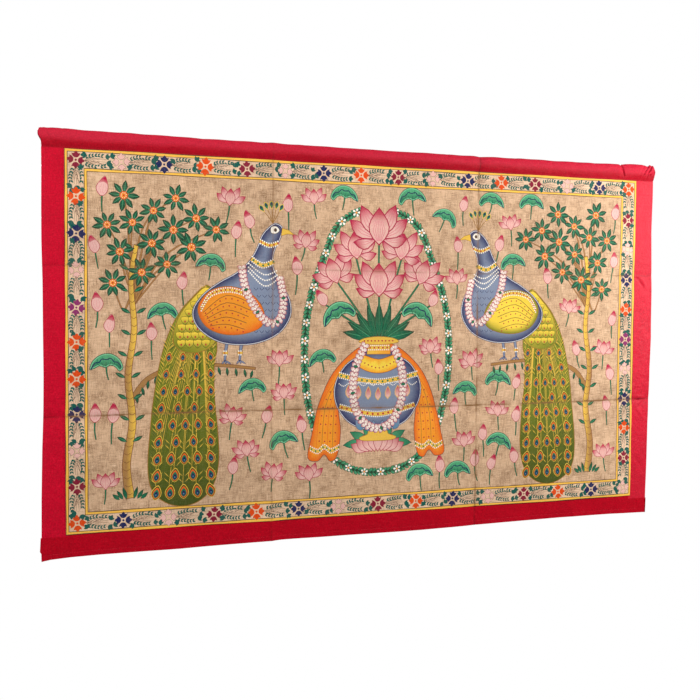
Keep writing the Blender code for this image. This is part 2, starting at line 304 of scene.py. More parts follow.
def petal(start, tip, width, belly=0.45, steps=5, bend=0.0):    # belly: where it is widest, as a share
    power = math.log(0.5) / math.log(belly)
    axis = Vector((tip[0] - start[0], tip[1] - start[1]))
    side = Vector((-axis.y, axis.x)).normalized()
    halves = ([], [])
    for step in range(steps + 1):
        share = step / steps
        reach = width / 2.0 * math.sin(math.pi * share ** power)
        lean = bend * math.sin(math.pi * share)
        for half, sign in zip(halves, (1.0, -1.0)):
            spot = Vector(start) + axis * share + side * (lean + reach * sign)
            half.append((spot.x, spot.y))
    return halves[1][:-1] + halves[0][:0:-1]


def ribbon(path, startWidth, endWidth=None):    # a line with a width
    endWidth = startWidth if endWidth is None else endWidth
    left, right = [], []
    for number, here in enumerate(path):
        before, after = path[max(number - 1, 0)], path[min(number + 1, len(path) - 1)]
        ahead = Vector((after[0] - before[0], after[1] - before[1])).normalized()
        width = startWidth + (endWidth - startWidth) * (number / (len(path) - 1))
        left.append((here[0] - ahead.y * width / 2.0, here[1] + ahead.x * width / 2.0))
        right.append((here[0] + ahead.y * width / 2.0, here[1] - ahead.x * width / 2.0))
    return right + left[::-1]


def spacedAlong(path, gap, start=0.0):      # x, y and direction of spots along a path
    result = []
    walked, wanted = 0.0, start
    for a, b in zip(path, path[1:]):
        length = math.dist(a, b)
        while wanted <= walked + length and length > 0.0:
            share = (wanted - walked) / length
            result.append((a[0] + (b[0] - a[0]) * share, a[1] + (b[1] - a[1]) * share,
                           math.degrees(math.atan2(b[1] - a[1], b[0] - a[0]))))
            wanted += gap
        walked += length
    return result


class Brush:  # draws in a motif's own millimetres, and places, turns and mirrors what it draws
    def __init__(self, x, y, turn=0.0, size=1.0, flip=False):
        self.x, self.y, self.turn, self.size = x, y, turn, size
        self.across = math.cos(math.radians(turn)) * size
        self.up = math.sin(math.radians(turn)) * size
        self.mirror = -1.0 if flip else 1.0

    def at(self, point):
        x, y = point[0] * self.mirror, point[1]
        return (self.x + x * self.across - y * self.up, self.y + x * self.up + y * self.across)

    def inside(self, x, y, turn=0.0, size=1.0, flip=False):
        spot = self.at((x, y))
        brush = Brush(spot[0], spot[1], self.turn + turn * self.mirror, self.size * size)
        brush.mirror = self.mirror * (-1.0 if flip else 1.0)
        return brush

    def lay(self, points, tone, fade=None, line=None, rim=None, cover=1.0):
        placed = [self.at(point) for point in points]
        if line:        # (tone, width)
            shapes.append((placed, ("flat", linear(line[0])), cover))
            placed = inset(placed, line[1] * self.size)
        if fade:        # (tone, start, end): from tone at the start to the other at the end
            start, end = self.at(fade[1]), self.at(fade[2])
            shapes.append((placed, ("along", linear(tone), linear(fade[0]), start, end), cover))
        elif rim:       # (tone, widths): from the rim's tone to the middle's tone
            widths = [width * self.size for width in rim[1]]
            for width in [0.0] + widths:
                layer = inset(placed, width) if width else placed
                shapes.append((layer, ("rim", linear(tone), linear(rim[0]), placed, widths[-1]), cover))
        else:
            shapes.append((placed, ("flat", linear(tone)), cover))

    def blade(self, low, high, width, belly, steps, tone, fade, line):  # an upright leaf or petal
        tipTone, start, end = fade
        self.lay(petal((0, low), (0, high), width, belly, steps), tone,
                 fade=(tipTone, (0, start), (0, end)), line=line)

    def dots(self, path, gap, radius, tone, steps=7):
        for x, y, turn in spacedAlong(path, gap, gap / 2.0):
            self.lay(ellipse(x, y, radius, radius, steps, turn), tone)


lotus = {
    "petals": ((-97, 36, 15), (96, 37, 16), (-66, 45, 19), (64, 46, 19), (-33, 45, 20), (31, 46, 20)),
    "budWidth": 31.0,
    "budHeight": 48.0,
    "stemLength": 47.0,
    "stemWidths": (5.0, 3.4),
    "line": ("lotusLine", 1.4),
    "leaf": ((-42, -6), (-34, 16), (-12, 32), (14, 33), (35, 18), (43, -4), (33, -14), (22, -2), (10, 2),
             (-2, -3), (-16, 2), (-28, -3)),
    "leafFold": ((-38, -5), (-28, 10), (-17, 12), (-10, 20), (2, 18), (12, 21), (20, 12), (30, 9),
                 (38, -4)),
    "leafRim": 4.4,
}


def drawStem(brush, sway, shortest, longest):
    lean = rng.uniform(-sway, sway)
    length = lotus["stemLength"] * rng.uniform(shortest, longest)
    path = curve([(0, 2), (lean * 0.2, -length * 0.5), (lean, -length)], 3)
    brush.lay(ribbon(path, *lotus["stemWidths"]), "stem", line=("stemDark", 0.9))


def drawVeins(brush, start, tip, width, count):     # fine lines that spread over a petal
    axis = Vector((tip[0] - start[0], tip[1] - start[1]))
    side = Vector((-axis.y, axis.x)).normalized()
    for number in range(count):
        spread = (number - (count - 1) / 2) / max(count - 1, 1) * width * 0.62
        line = [Vector(start) + axis * share + side * spread * reach
                for share, reach in ((0.16, 0.35), (0.5, 1.0), (0.84 - 0.05 * abs(spread) / width, 0.55))]
        brush.lay(ribbon([(point.x, point.y) for point in line], 0.8, 0.5), "lotusVein")


def drawLotus(brush, petals=6, stem=True, veins=1):
    if stem:
        drawStem(brush, 7, 0.85, 1.15)
    for turn, length, width in lotus["petals"][6 - petals:]:
        angle = math.radians(90 - turn * rng.uniform(0.93, 1.07))
        length *= rng.uniform(0.94, 1.06)
        tip = (length * math.cos(angle), 8 + length * math.sin(angle))
        start = (turn * 0.03, 4)
        fade = ("lotusDeep", (tip[0] * 0.56, 4 + tip[1] * 0.50), (tip[0] * 0.90, tip[1] * 0.91))
        brush.lay(petal(start, tip, width, 0.56, 5, bend=-turn * 0.045), "lotusPale", fade, lotus["line"])
        drawVeins(brush, start, tip, width, veins)
    brush.blade(-4, 44, 29, 0.46, 6, "rose", ("lotusDeep", 24, 37), lotus["line"])
    drawVeins(brush, (0, -4), (0, 33), 27, veins + 2)


def drawBud(brush, stem=True):
    if stem:
        drawStem(brush, 8, 0.85, 1.2)
    wide, high = lotus["budWidth"], lotus["budHeight"]
    lean = rng.choice((-1, 1)) * rng.uniform(2, 6)
    outline = smooth([(0, -3), (wide * 0.36, 5), (wide * 0.5, high * 0.42), (wide * 0.26 + lean, high * 0.8),
                      (lean * 1.3, high), (lean - wide * 0.2, high * 0.84), (-wide * 0.48, high * 0.42),
                      (-wide * 0.36, 5)], 3)
    brush.lay(outline, "lotusPale", line=lotus["line"])
    cap = smooth([(wide * 0.4, high * 0.55), (wide * 0.26 + lean, high * 0.79), (lean * 1.3, high * 0.97),
                  (lean - wide * 0.22, high * 0.8), (-wide * 0.4, high * 0.56), (-wide * 0.1, high * 0.66),
                  (wide * 0.14, high * 0.62)], 3)
    brush.lay(inset(cap, 0.8), "lotusPale", fade=("lotusDeep", (0, high * 0.46), (lean, high * 0.78)))
    drawVeins(brush, (0, -2), (lean, high * 0.72), wide * 0.86, 3)


def drawLeaf(brush, stem=True):
    if stem:
        drawStem(brush, 8, 0.7, 1.0)
    dome = smooth(lotus["leaf"], 3)
    brush.lay(dome, "leafRim", line=("leafDark", 1.6))
    brush.lay(inset(dome, lotus["leafRim"]), "leaf", fade=("leafPale", (0, 2), (0, 20)))
    brush.lay(ribbon(curve(lotus["leafFold"], 3), 3.0, 2.4), "navy")
    for x in (-24, -12, 0, 12, 24):
        brush.lay(ribbon([(x * 0.55, 1), (x * 0.85, 7), (x, 12)], 1.3, 0.7), "leafDark")
    for x in (-20, -7, 7, 20):
        brush.lay(ribbon([(x, 18 - abs(x) * 0.2), (x * 1.12, 28 - abs(x) * 0.3)], 1.2, 0.6), "leafDark")


border = {
    "rosettePetal": ((0, 5.6), *mirrored(((4.4, 6.6), (7.8, 9.6), (9.8, 13.2), (10.8, 18.0), (7.4, 16.4),
                                          (4.6, 17.2), (3.2, 20.2)), [(0, 23.0)])),
    "clusterLeaf": ((0, 0), *mirrored(((4.2, 1.6), (7.0, 5.0), (7.8, 8.8), (4.0, 8.2), (2.8, 10.4)),
                                      [(0, 13.4)])),
    "leafletGap": 7.8,
    "leafletSpread": 4.6,   # leaflets that would stand further out than the reach are left out
    "leafletReach": 19.0,
    "leaflet": ((0.6, 0), (4.0, -2.8), (10.8, 0.2), (5.0, 2.6)),
    "hairs": (              # from and to, as a share of the gap and across it, and the bow between
        ((0.17, 0), (0.68, 2), 0), ((0.22, 1), (0.62, 10), -2.5), ((0.22, -1), (0.60, -8), 2.5),
        ((0.28, 1), (0.46, 10), -2.0), ((0.28, -1), (0.47, -9), 2.0), ((0.38, 2), (0.70, 8), -1.5),
        ((0.38, 0), (0.66, -4), 1.5), ((0.20, 1), (0.34, 8), -1.5), ((0.20, -1), (0.34, -7), 1.5),
        ((0.33, 1), (0.54, 6), -1.5), ((0.33, -1), (0.52, -4), 1.5), ((0.48, 2), (0.66, 12), -1.5),
    ),
    "sprigs": (
        ((0.19, 7), (0.32, 12.5), (0.46, 14.5), (0.62, 13)),
        ((0.20, -7), (0.33, -11), (0.46, -13.5), (0.57, -13)),
    ),
    "clusters": (           # share of the gap, across it, turn, and how often it is there
        (0.69, 3, 25, 0.95), (0.66, -11, -10, 0.95), (0.77, -12, 10, 0.95), (0.74, 13, 15, 0.9),
        (0.24, -14, 170, 0.5), (0.25, 14, 190, 0.4),
    ),
    "rosettes": {           # tones in turn, from the side's first corner
        "top": ("maroon", "rose", "navy", "orange"),
        "bottom": ("orange", "navy", "rose", "maroon"),
        "left": ("", "orange", "navy", "rose", "plum", "orange", "orange", "navy", "rose", "maroon"),
        "right": ("", "maroon", "rose", "navy", "orange", "plum", "rose", "navy", "orange", "maroon"),
    },
    "gaps": {"top": 15, "bottom": 14, "left": 10, "right": 10},     # between rosettes
}


def drawRosette(brush, tone):
    for turn in (0, 90, 180, 270):
        arm = brush.inside(0, 0, turn + rng.uniform(-4, 4), rng.uniform(0.94, 1.05))
        arm.lay(border["rosettePetal"], tone, line=("spray", 0.7) if tone == "rose" else None)
    brush.inside(0, 0, rng.uniform(30, 60)).lay([(-2.4, -2.4), (2.4, -2.4), (2.4, 2.4), (-2.4, 2.4)], tone)


def drawSpray(brush, length):
    side = rng.choice((-1, 1))
    for start, end, bow in border["hairs"]:
        fromX, fromY = length * start[0], start[1] + rng.uniform(-0.8, 0.8)
        toX, toY = length * end[0] + rng.uniform(-3, 3), end[1] + rng.uniform(-1.5, 1.5)
        middle = ((fromX + toX) / 2, side * ((fromY + toY) / 2 - bow))
        brush.lay(ribbon(curve([(fromX, side * fromY), middle, (toX, side * toY)], 3), 1.0, 0.5), "spray")
    for points in border["sprigs"]:
        sprig = curve([(length * along, side * across) for along, across in points], 3)
        for x, y, turn in spacedAlong(sprig, border["leafletGap"], rng.uniform(0, 3)):
            for way in (-1, 1):
                if abs(y + way * border["leafletSpread"]) < border["leafletReach"]:
                    leaflet = brush.inside(x, y, turn + way * rng.uniform(26, 38), rng.uniform(0.85, 1.05))
                    leaflet.lay(border["leaflet"], "teal")
    for along, across, turn, often in border["clusters"]:
        if rng.random() < often:
            cluster = brush.inside(length * along, side * across, turn * side - 90 + rng.uniform(-35, 35),
                                   rng.uniform(1.0, 1.2))
            cluster.lay(border["clusterLeaf"], "teal")


def wobblyFrame(margin):
    width, height = painting["width"] - margin, painting["height"] - margin
    corners = [(margin, margin), (width, margin), (width, height), (margin, height)]
    phase = margin * 0.37
    result = []
    for start, end in zip(corners, corners[1:] + corners[:1]):
        steps = max(2, round(math.dist(start, end) / painting["wobbleStep"]))
        for step in range(steps):
            share = step / steps
            x, y = start[0] + (end[0] - start[0]) * share, start[1] + (end[1] - start[1]) * share
            shift = painting["handWobble"] * math.sin(0.021 * (x + 1.7 * y) + phase) if step else 0.0
            along = abs(end[0] - start[0]) > abs(end[1] - start[1])
            result.append((x, y + shift) if along else (x + shift, y))
    return result


def paintBorder():
    flat = Brush(0, 0)
    line = painting["darkLine"]
    width, height = painting["width"], painting["height"]
    shapes.append(([(0, 0), (width, 0), (width, height), (0, height)], ("flat", linear("ink")), 1.0))
    for margin, tone, cover in (
        (painting["edgeLine"], "yellow", 1.0),
        (painting["outerLine"], "ink", 1.0), (painting["outerLine"] + line, "band", 0.4),
        (painting["bandEnd"], "ink", 1.0), (painting["bandEnd"] + line, "yellow", 1.0),
        (painting["fieldStart"] - line, "ink", 1.0), (painting["fieldStart"], "ground", 0.0),
    ):
        flat.lay(wobblyFrame(margin), tone, cover=cover)
    middle = (painting["outerLine"] + painting["bandEnd"]) / 2 + 1
    for side, x, y, stepX, stepY in (   # first corner and direction
        ("top", middle, height - middle, 1, 0), ("bottom", middle, middle, 1, 0),
        ("left", middle, height - middle, 0, -1), ("right", width - middle, height - middle, 0, -1),
    ):
        gaps, rosettes = border["gaps"][side], border["rosettes"][side]
        gap = ((width if stepX else height) - 2 * middle) / gaps
        for number in range(gaps + stepX):
            shift = rng.uniform(-3, 3) if 0 < number < gaps else 0.0
            place = number * gap + shift
            spot = (x + stepX * place, y + stepY * place)
            if stepX or number:
                drawRosette(Brush(*spot, rng.uniform(-6, 6), rng.uniform(0.96, 1.05)),
                            rosettes[number % len(rosettes)])
            if number < gaps:
                drawSpray(Brush(*spot, 0 if stepX else -90), gap)


def drawLeafGarland(brush, path):
    brush.lay(ribbon(path, 9.0), "forest")
    for x, y, turn in spacedAlong(path, 10.5):
        for way in (-1, 1):
            leaf = brush.inside(x, y, turn + way * 40, rng.uniform(0.9, 1.1))
            leaf.lay(petal((0, 0), (17, 0), 9.5, 0.5, 3), "leaf", fade=("leafPale", (2, 0), (15, 0)),
                     line=("forest", 1.1))
    for x, y, turn in spacedAlong(path, 47.0, 20.0):
        star = brush.inside(x, y, turn, rng.uniform(0.95, 1.1))
        for step in range(5):
            star.inside(0, 0, step * 72).lay(petal((0, 1), (0, 12), 8.0, 0.6, 3), "white",
                                             line=("forest", 0.7))
        star.lay(ellipse(0, 0, 2.8, 2.8, 6), "amber")


def drawPetalGarland(brush, path, size):
    for number, (x, y, turn) in enumerate(spacedAlong(path, 13.0 * size)):
        for way in (-1, 1):
            tuft = brush.inside(x, y, turn + 180 + way * 58, size)
            tuft.lay(petal((-3, 0), (17, 0), 14, 0.55, 3), "white", fade=("lotusDeep", (5, 0), (18, 0)),
                     line=("lotusLine", 1.0))
        knot = brush.inside(x, y, turn, size)
        knot.lay(ellipse(0, 0, 5.5, 5.0, 7), "white", fade=("rose", (0, 0), (6, 0)),
                 line=("lotusLine", 0.9))
        if number % 6 == 5:
            knot.lay(ellipse(0, 0, 4.6, 7.5, 8), "leaf", line=("leafDark", 0.9))


def drawBand(brush, path, width, gem="ruby"):       # a gold band with gems and pearls
    brush.lay(ribbon(path, width), "gold", line=("goldDark", 1.0))
    brush.dots(path, width * 1.35, width * 0.28, gem)
    for side in (-1, 1):
        edge = [(x, y + side * width * 0.62) for x, y in path]
        brush.dots(edge, 5.6, 1.9, "white", steps=6)


peacock = {
    "train": ((-18, 178), (-64, 152), (-104, 100), (-132, 30), (-150, -60), (-160, -150), (-166, -235),
              (-158, -292), (-126, -326), (-82, -338), (-38, -324), (-8, -288), (4, -230), (0, -150),
              (-8, -70), (-8, 0), (-2, 45)),
    "barb": ((0, 1.2), (9, 9.5), (16, 13), (8.2, 10.4)),
    "eyeRows": 10,
    "eye": (                # tone, half width, half height and drop of each layer
        ("gold", 13, 18, 0), ("oliveDark", 11.4, 16.2, -0.6), ("saffron", 9.6, 13.6, -1.4),
        ("leaf", 7.4, 10.4, -2.6), ("navy", 4.8, 6.6, -4.0),
    ),
    "saddle": ((-22, 176), (-62, 150), (-96, 104), (-108, 50), (-84, 26), (-44, 24), (-10, 44), (8, 90)),
    "scallops": (           # height, left end, right end and size
        (44, -98, -20, 19), (62, -100, -10, 19), (80, -96, -4, 19), (98, -88, 0, 18), (116, -78, 2, 17),
        (134, -66, 0, 16), (151, -50, -4, 15),
    ),
    "body": ((118, 318), (138, 332), (158, 322), (153, 296), (137, 262), (135, 228), (153, 192), (177, 150),
             (179, 108), (151, 68), (98, 44), (40, 40), (-10, 52), (-52, 84), (-62, 122), (-38, 160),
             (2, 190), (42, 212), (74, 240), (94, 274), (104, 300)),
    "wing": ((-50, 128), (-22, 168), (30, 180), (82, 162), (112, 122), (106, 84), (62, 66), (10, 66),
             (-32, 86)),
    "wingTrim": ((-42, 124), (-18, 160), (30, 171), (78, 154), (104, 118)),
    "face": ((128, 322), (142, 324), (150, 314), (140, 306), (128, 308)),
    "beak": ((156, 321), (174, 316), (188, 305), (170, 306), (153, 301)),
    "collars": (            # path, width and gem
        (((100, 288), (124, 278), (146, 284)), 8, "ruby"),
        (((80, 246), (108, 230), (136, 240)), 10, "leaf"),
    ),
    "garland": ((58, 222), (66, 176), (92, 124), (126, 92), (152, 104), (160, 150), (150, 204)),
}


def drawScallops(brush):
    for y, left, right, size in peacock["scallops"]:
        count = max(1, round((right - left) / size))
        for number in range(count):
            x = left + (number + 0.5) * (right - left) / count
            points = smooth([(x - size * 0.5, y + size * 0.5), (x - size * 0.46, y - size * 0.1),
                             (x, y - size * 0.55), (x + size * 0.46, y - size * 0.1),
                             (x + size * 0.5, y + size * 0.5)], 2)
            brush.lay(points, "lemon", fade=("olive", (x, y + size * 0.4), (x, y - size * 0.5)),
                      line=("oliveDark", 0.9))
            brush.lay(ellipse(x, y - size * 0.08, size * 0.1, size * 0.16, 6), "ruby")


def drawEyeFeather(brush, x, y, turn, size, root):
    for way in (-0.5, 0.5):         # the stalk has a light and a dark side
        middle = (x * 0.6 + root[0] * 0.4 + way * 6, (y + root[1]) / 2)
        stalk = curve([root, middle, (x + way * 5, y + 16)], 3)
        brush.lay(ribbon(stalk, 1.1, 0.9), "gold" if way < 0 else "oliveDark")
    for step in range(4):
        for way in (-1, 1):
            lowX, lowY = x + way * 2, y + 14 + step * 7 * size
            brush.lay([(lowX, lowY), (lowX + way * 7.6, lowY + 6.4), (lowX + way * 13, lowY + 13),
                       (lowX + way * 6.4, lowY + 7.4)], "gold" if step % 2 else "oliveDark")
    eye = brush.inside(x, y, turn, size)
    for tone, wide, high, drop in peacock["eye"]:
        eye.lay(smooth([(0, high + drop), (wide * 0.8, high * 0.3 + drop), (wide * 0.86, -high * 0.4 + drop),
                        (0, -high + drop), (-wide * 0.86, -high * 0.4 + drop),
                        (-wide * 0.8, high * 0.3 + drop)], 3), tone)
    eye.lay(ellipse(0, -5.5, 1.7, 2.2, 6), "sky")


def drawTrain(brush):
    train = smooth(peacock["train"], 4)
    brush.lay(train, "olive", fade=("oliveDark", (-60, -60), (-90, -330)), line=("goldDark", 1.8))
    for x, y, turn in spacedAlong(train + train[:1], 7.5):      # the fringe of barbs round the edge
        barb = brush.inside(x, y, turn, rng.uniform(0.85, 1.15))
        barb.lay(peacock["barb"], "oliveDark" if y < -60 else "gold")
    for row in range(peacock["eyeRows"]):
        share = row / (peacock["eyeRows"] - 1)
        centre, half = -81 + 17 * share - 4 * math.sin(3 * share), 68 - 20 * share ** 2
        count = (5 if row < 8 else 4) - row % 2
        for number in range(count):
            x = centre + (2 * number / max(count - 1, 1) - 1) * half * (0.94 if count > 3 else 0.78)
            drawEyeFeather(brush, x, -302 + 356 * share, (x - centre) * 0.22, 1.0 - 0.36 * share,
                           (-52 + 0.18 * (x - centre), 96))
    brush.lay(smooth(peacock["saddle"], 4), "lemon", fade=("olive", (-20, 150), (-90, 30)),
              line=("goldDark", 1.5))
    drawScallops(brush)


def drawHead(brush):
    brush.lay(smooth(peacock["face"], 3), "white", line=("ink", 0.9))
    brush.lay(ellipse(139, 315, 4.2, 4.6, 8), "ink")
    brush.lay(peacock["beak"], "gold", line=("goldDark", 1.1))
    for number in range(5):
        crest = brush.inside(132, 331, 38 - number * 17)
        crest.lay(ribbon([(0, 0), (1, 20), (0, 36)], 1.5), "goldDark")
        crest.lay(petal((0, 32), (0, 54), 12, 0.6, 4), "leaf", line=("gold", 1.3))
        crest.lay(ellipse(0, 46, 2.4, 3.4, 6), "navy")


def drawPeacock(brush, cloak, cloakEdge):
    drawTrain(brush)
    for x in (16, 52):
        brush.lay(ribbon([(x + 6, 52), (x + 2, 26), (x, 4)], 9, 6), "slatePale", line=("slateDark", 1.2))
        drawBand(brush, [(x - 5, 22), (x + 8, 22)], 7)
        for toe in (-12, 0, 12):
            brush.lay(petal((x, 5), (x + 4 + toe, -5), 5, 0.5, 3), "slatePale", line=("slateDark", 0.9))
    body = smooth(peacock["body"], 4)
    brush.lay(body, "halo", line=("slateDark", 1.4))
    brush.lay(inset(body, 2.9), "slatePale", rim=("slateDark", (5, 10, 16, 22)))
    for row in range(7):            # small breast feathers
        for number in range(6 - abs(row - 3) // 2):
            x, y = 92 + number * 14 + (row % 2) * 7, 72 + row * 17
            if x < 168 - abs(row - 2) * 6:
                feather = curve([(x - 5, y + 3), (x, y - 3), (x + 5, y + 3)], 2)
                brush.lay(ribbon(feather, 1.1), "slateDark")
    brush.lay(smooth(peacock["wing"], 4), cloak, rim=(cloakEdge, (4, 9, 15)), line=("goldDark", 1.6))
    for number in range(5):
        fold = curve([(-36 + number * 4, 118 - number * 8), (20, 158 - number * 17),
                      (84 - number * 5, 138 - number * 15)])
        brush.lay(ribbon(fold, 1.4), "brown")
        brush.dots([(x, y - 7) for x, y in fold], 15, 2.0, "ruby", steps=6)
    drawBand(brush, curve(peacock["wingTrim"]), 8)
    drawHead(brush)
    for path, width, gem in peacock["collars"]:
        drawBand(brush, curve(path), width, gem)
    for drop in (0, 9, 18):         # strings of pearls
        pearls = curve([(72, 236 - drop), (112, 208 - drop * 1.5), (146, 220 - drop * 1.2)])
        brush.dots(pearls, 5.6, 2.1, "white", steps=6)
    drawPetalGarland(brush, curve(peacock["garland"], 5), 0.78)


tree = {
    "trunk": ((0, 0), (-10, 90), (6, 200), (-6, 320), (10, 440), (2, 560), (16, 660)),
    "perch": ((0, 250), (46, 312), (130, 343), (230, 345), (336, 334)),
    "clusters": ((-44, 560), (30, 588), (-26, 640), (56, 664), (6, 716), (-58, 708), (96, 610), (112, 700),
                 (60, 748), (-16, 784), (160, 656), (172, 732), (118, 782), (226, 704)),
}


def drawLeafCluster(brush):
    for step in range(8):
        leaf = brush.inside(0, 0, step * 45 + rng.uniform(-6, 6), rng.uniform(0.92, 1.08))
        leaf.blade(6, 37, 14, 0.5, 4, "leaf", ("forest", 6, 30), ("forest", 1.1))
        leaf.lay(ribbon([(0, 9), (0, 32)], 0.9), "leafPale")
    brush.lay(ellipse(0, 0, 10.5, 10.5, 14), "amber", rim=("saffron", (2, 5)), line=("brown", 1.0))
    brush.dots(ellipse(0, 0, 6.4, 6.4, 14) + [(6.4, 0)], 5.0, 1.1, "white", steps=5)
    brush.lay(ellipse(0, 0, 2.4, 2.4, 7), "ruby")


def drawTree(brush):
    trunk, perch = curve(tree["trunk"], 5), curve(tree["perch"], 5)
    for x, y in tree["clusters"]:
        twig = curve([(6, 540 if x < 90 else 500), (x * 0.4, y - 70), (x, y)])
        brush.lay(ribbon(twig, 7, 3), "bark", line=("brown", 1.0))
    brush.lay(ribbon(perch, 17, 8), "bark", line=("brown", 1.4))
    brush.lay(ribbon(trunk, 25, 13), "bark", fade=("gold", (-10, 0), (12, 0)), line=("brown", 1.6))
    for x, y, turn in spacedAlong(trunk, 21, 12):       # rings round the trunk
        half = 9.5 - 4.5 * y / 660
        brush.lay(ribbon(curve([(x - half, y + 3), (x, y - 2), (x + half, y + 3)], 3), 1.2), "brown")
    for x, y, turn in spacedAlong(perch, 24, 30):
        sprig = brush.inside(x, y - 4, 180 + rng.uniform(-20, 20))
        sprig.blade(0, 25, 9, 0.5, 4, "leaf", ("forest", 0, 24), ("forest", 1.0))
    for x, y, turn in spacedAlong(trunk, 56, 150):
        for way in (-1, 1):
            sprig = brush.inside(x + way * 7, y, -way * 62)
            sprig.blade(0, 30, 11, 0.5, 4, "leaf", ("forest", 0, 28), ("forest", 1.0))
            sprig.lay(ribbon([(0, 4), (0, 25)], 0.8), "leafPale")
    for way in (-3, -2, -1, 1, 2, 3):   # tufts at the root
        tuft = brush.inside(way * 9, -2, -way * 17)
        tuft.blade(0, 40 - abs(way) * 5, 11, 0.45, 4, "leaf", ("forest", 0, 36), ("forest", 1.0))
    for x, y in tree["clusters"]:
        drawLeafCluster(brush.inside(x, y, rng.uniform(0, 45), rng.uniform(0.95, 1.12)))


vase = {
    "garland": ((-46, 640), (-112, 600), (-158, 500), (-196, 380), (-206, 250), (-190, 120), (-150, 20),
                (-84, -34)),
    "drape": ((-30, 292), (-74, 270), (-128, 216), (-164, 140), (-186, 52), (-196, -4), (-168, -14),
              (-150, 2), (-134, -16), (-114, -2), (-104, 60), (-110, 130), (-96, 196), (-62, 246),
              (-30, 270)),
    "drapeHem": ((-190, 22), (-168, 12), (-150, 24), (-132, 12), (-108, 22)),
    "foot": ((-52, 44), (-30, 52), (-24, 64), (24, 64), (30, 52), (52, 44), (40, 34), (-40, 34)),
    "bowl": ((-30, 62), (-86, 86), (-120, 136), (-122, 188), (-94, 236), (-50, 264), (-34, 278)),
    "bands": ((120, 108, 16, "ruby"), (204, 112, 14, "leaf")),      # height, half width, sag and gem
    "swag": ((-50, 262), (-62, 236), (-34, 218), (0, 212), (34, 218), (62, 236), (50, 262), (0, 250)),
    "lip": ((-58, 296), (-40, 306), (0, 310), (40, 306), (58, 296), (40, 290), (0, 287), (-40, 290)),
    "neckGarland": ((-40, 284), (-66, 226), (-70, 150), (-44, 88)),
    "leafFan": (-78, -58, -38, -18, 18, 38, 58, 78, 0),
    "stalks": ((-118, 452), (118, 452), (-66, 520), (66, 520), (0, 556), (-150, 392), (150, 392)),
    "flowers": (            # x, y, lean, size and veins
        (-118, 452, 20, 1.5, 4), (118, 452, -20, 1.5, 4), (-62, 516, 8, 1.55, 4), (62, 516, -8, 1.55, 4),
        (0, 556, 0, 2.1, 4), (0, 420, 0, 1.9, 5),
    ),
}


def drawDrape(brush):
    brush.lay(smooth(vase["drape"], 4), "amber", rim=("saffron", (4, 9, 16)), line=("brown", 1.6))
    for shift in range(4):
        fold = curve([(-46 - shift * 5, 268 - shift * 4), (-96 - shift * 9, 204 - shift * 4),
                      (-122 - shift * 13, 120), (-128 - shift * 15, 8)], 5)
        brush.lay(ribbon(fold, 1.6, 1.2), "saffron" if shift % 2 else "goldDark")
        brush.dots([(x + 7, y) for x, y in fold], 22, 2.2, "ruby", steps=6)
    drawBand(brush, curve(vase["drapeHem"]), 9, "leaf")


def drawFoot(brush):
    for turn in (-70, -46, -22, 22, 46, 70):
        leaf = brush.inside(turn * 0.5, 30, -turn * 1.35)
        leaf.blade(-4, 64, 26, 0.5, 5, "leafPale", ("leaf", 10, 56), ("leafDark", 1.4))
    for turn in (-84, 84, -62, 62, -40, 40, -20, 20, 0):
        arm = brush.inside(turn * 0.42, 6, -turn * 0.75)
        arm.blade(-2, 56 - abs(turn) * 0.12, 27, 0.5, 5, "lotusPale", ("lotusDeep", 22, 52), lotus["line"])
    brush.lay(smooth(vase["foot"], 3), "gold", line=("goldDark", 1.4))


def drawBowl(brush):
    bowl = smooth(mirrored(vase["bowl"]), 5)
    brush.lay(bowl, "halo", line=("slateDark", 1.5))
    brush.lay(inset(bowl, 3.0), "slatePale", rim=("slateDark", (7, 15, 24, 34)))
    for y, half, sag, gem in vase["bands"]:
        path = mirrored([(-half, y + sag * 0.4), (-half * 0.5, y - sag * 0.5)], [(0, y - sag)])
        drawBand(brush, curve(path), 11, gem)
    for x in range(-84, 85, 28):    # lotus buds between the two bands
        low = 148 + abs(x) * 0.1
        brush.lay(petal((x, low - 8), (x, low + 28), 17, 0.42, 4), "lotusPale",
                  fade=("lotusDeep", (x, low), (x, low + 26)), line=("gold", 1.5))
    for x in range(-98, 99, 28):    # dotted loops under the upper band
        side = 190 - abs(x) * 0.02
        brush.dots(curve([(x - 14, side), (x, 180), (x + 14, side)]), 4.8, 1.6, "white", steps=5)
    for x in (-66, -40, -14, 14, 40, 66):       # leaves round the foot of the bowl
        leaf = petal((x * 0.66, 54 + abs(x) * 0.12), (x * 0.96, 88 + abs(x) * 0.06), 20, 0.42, 5)
        brush.lay(leaf, "sky", fade=("slatePale", (x * 0.7, 62), (x, 90)), line=("slateDark", 0.9))


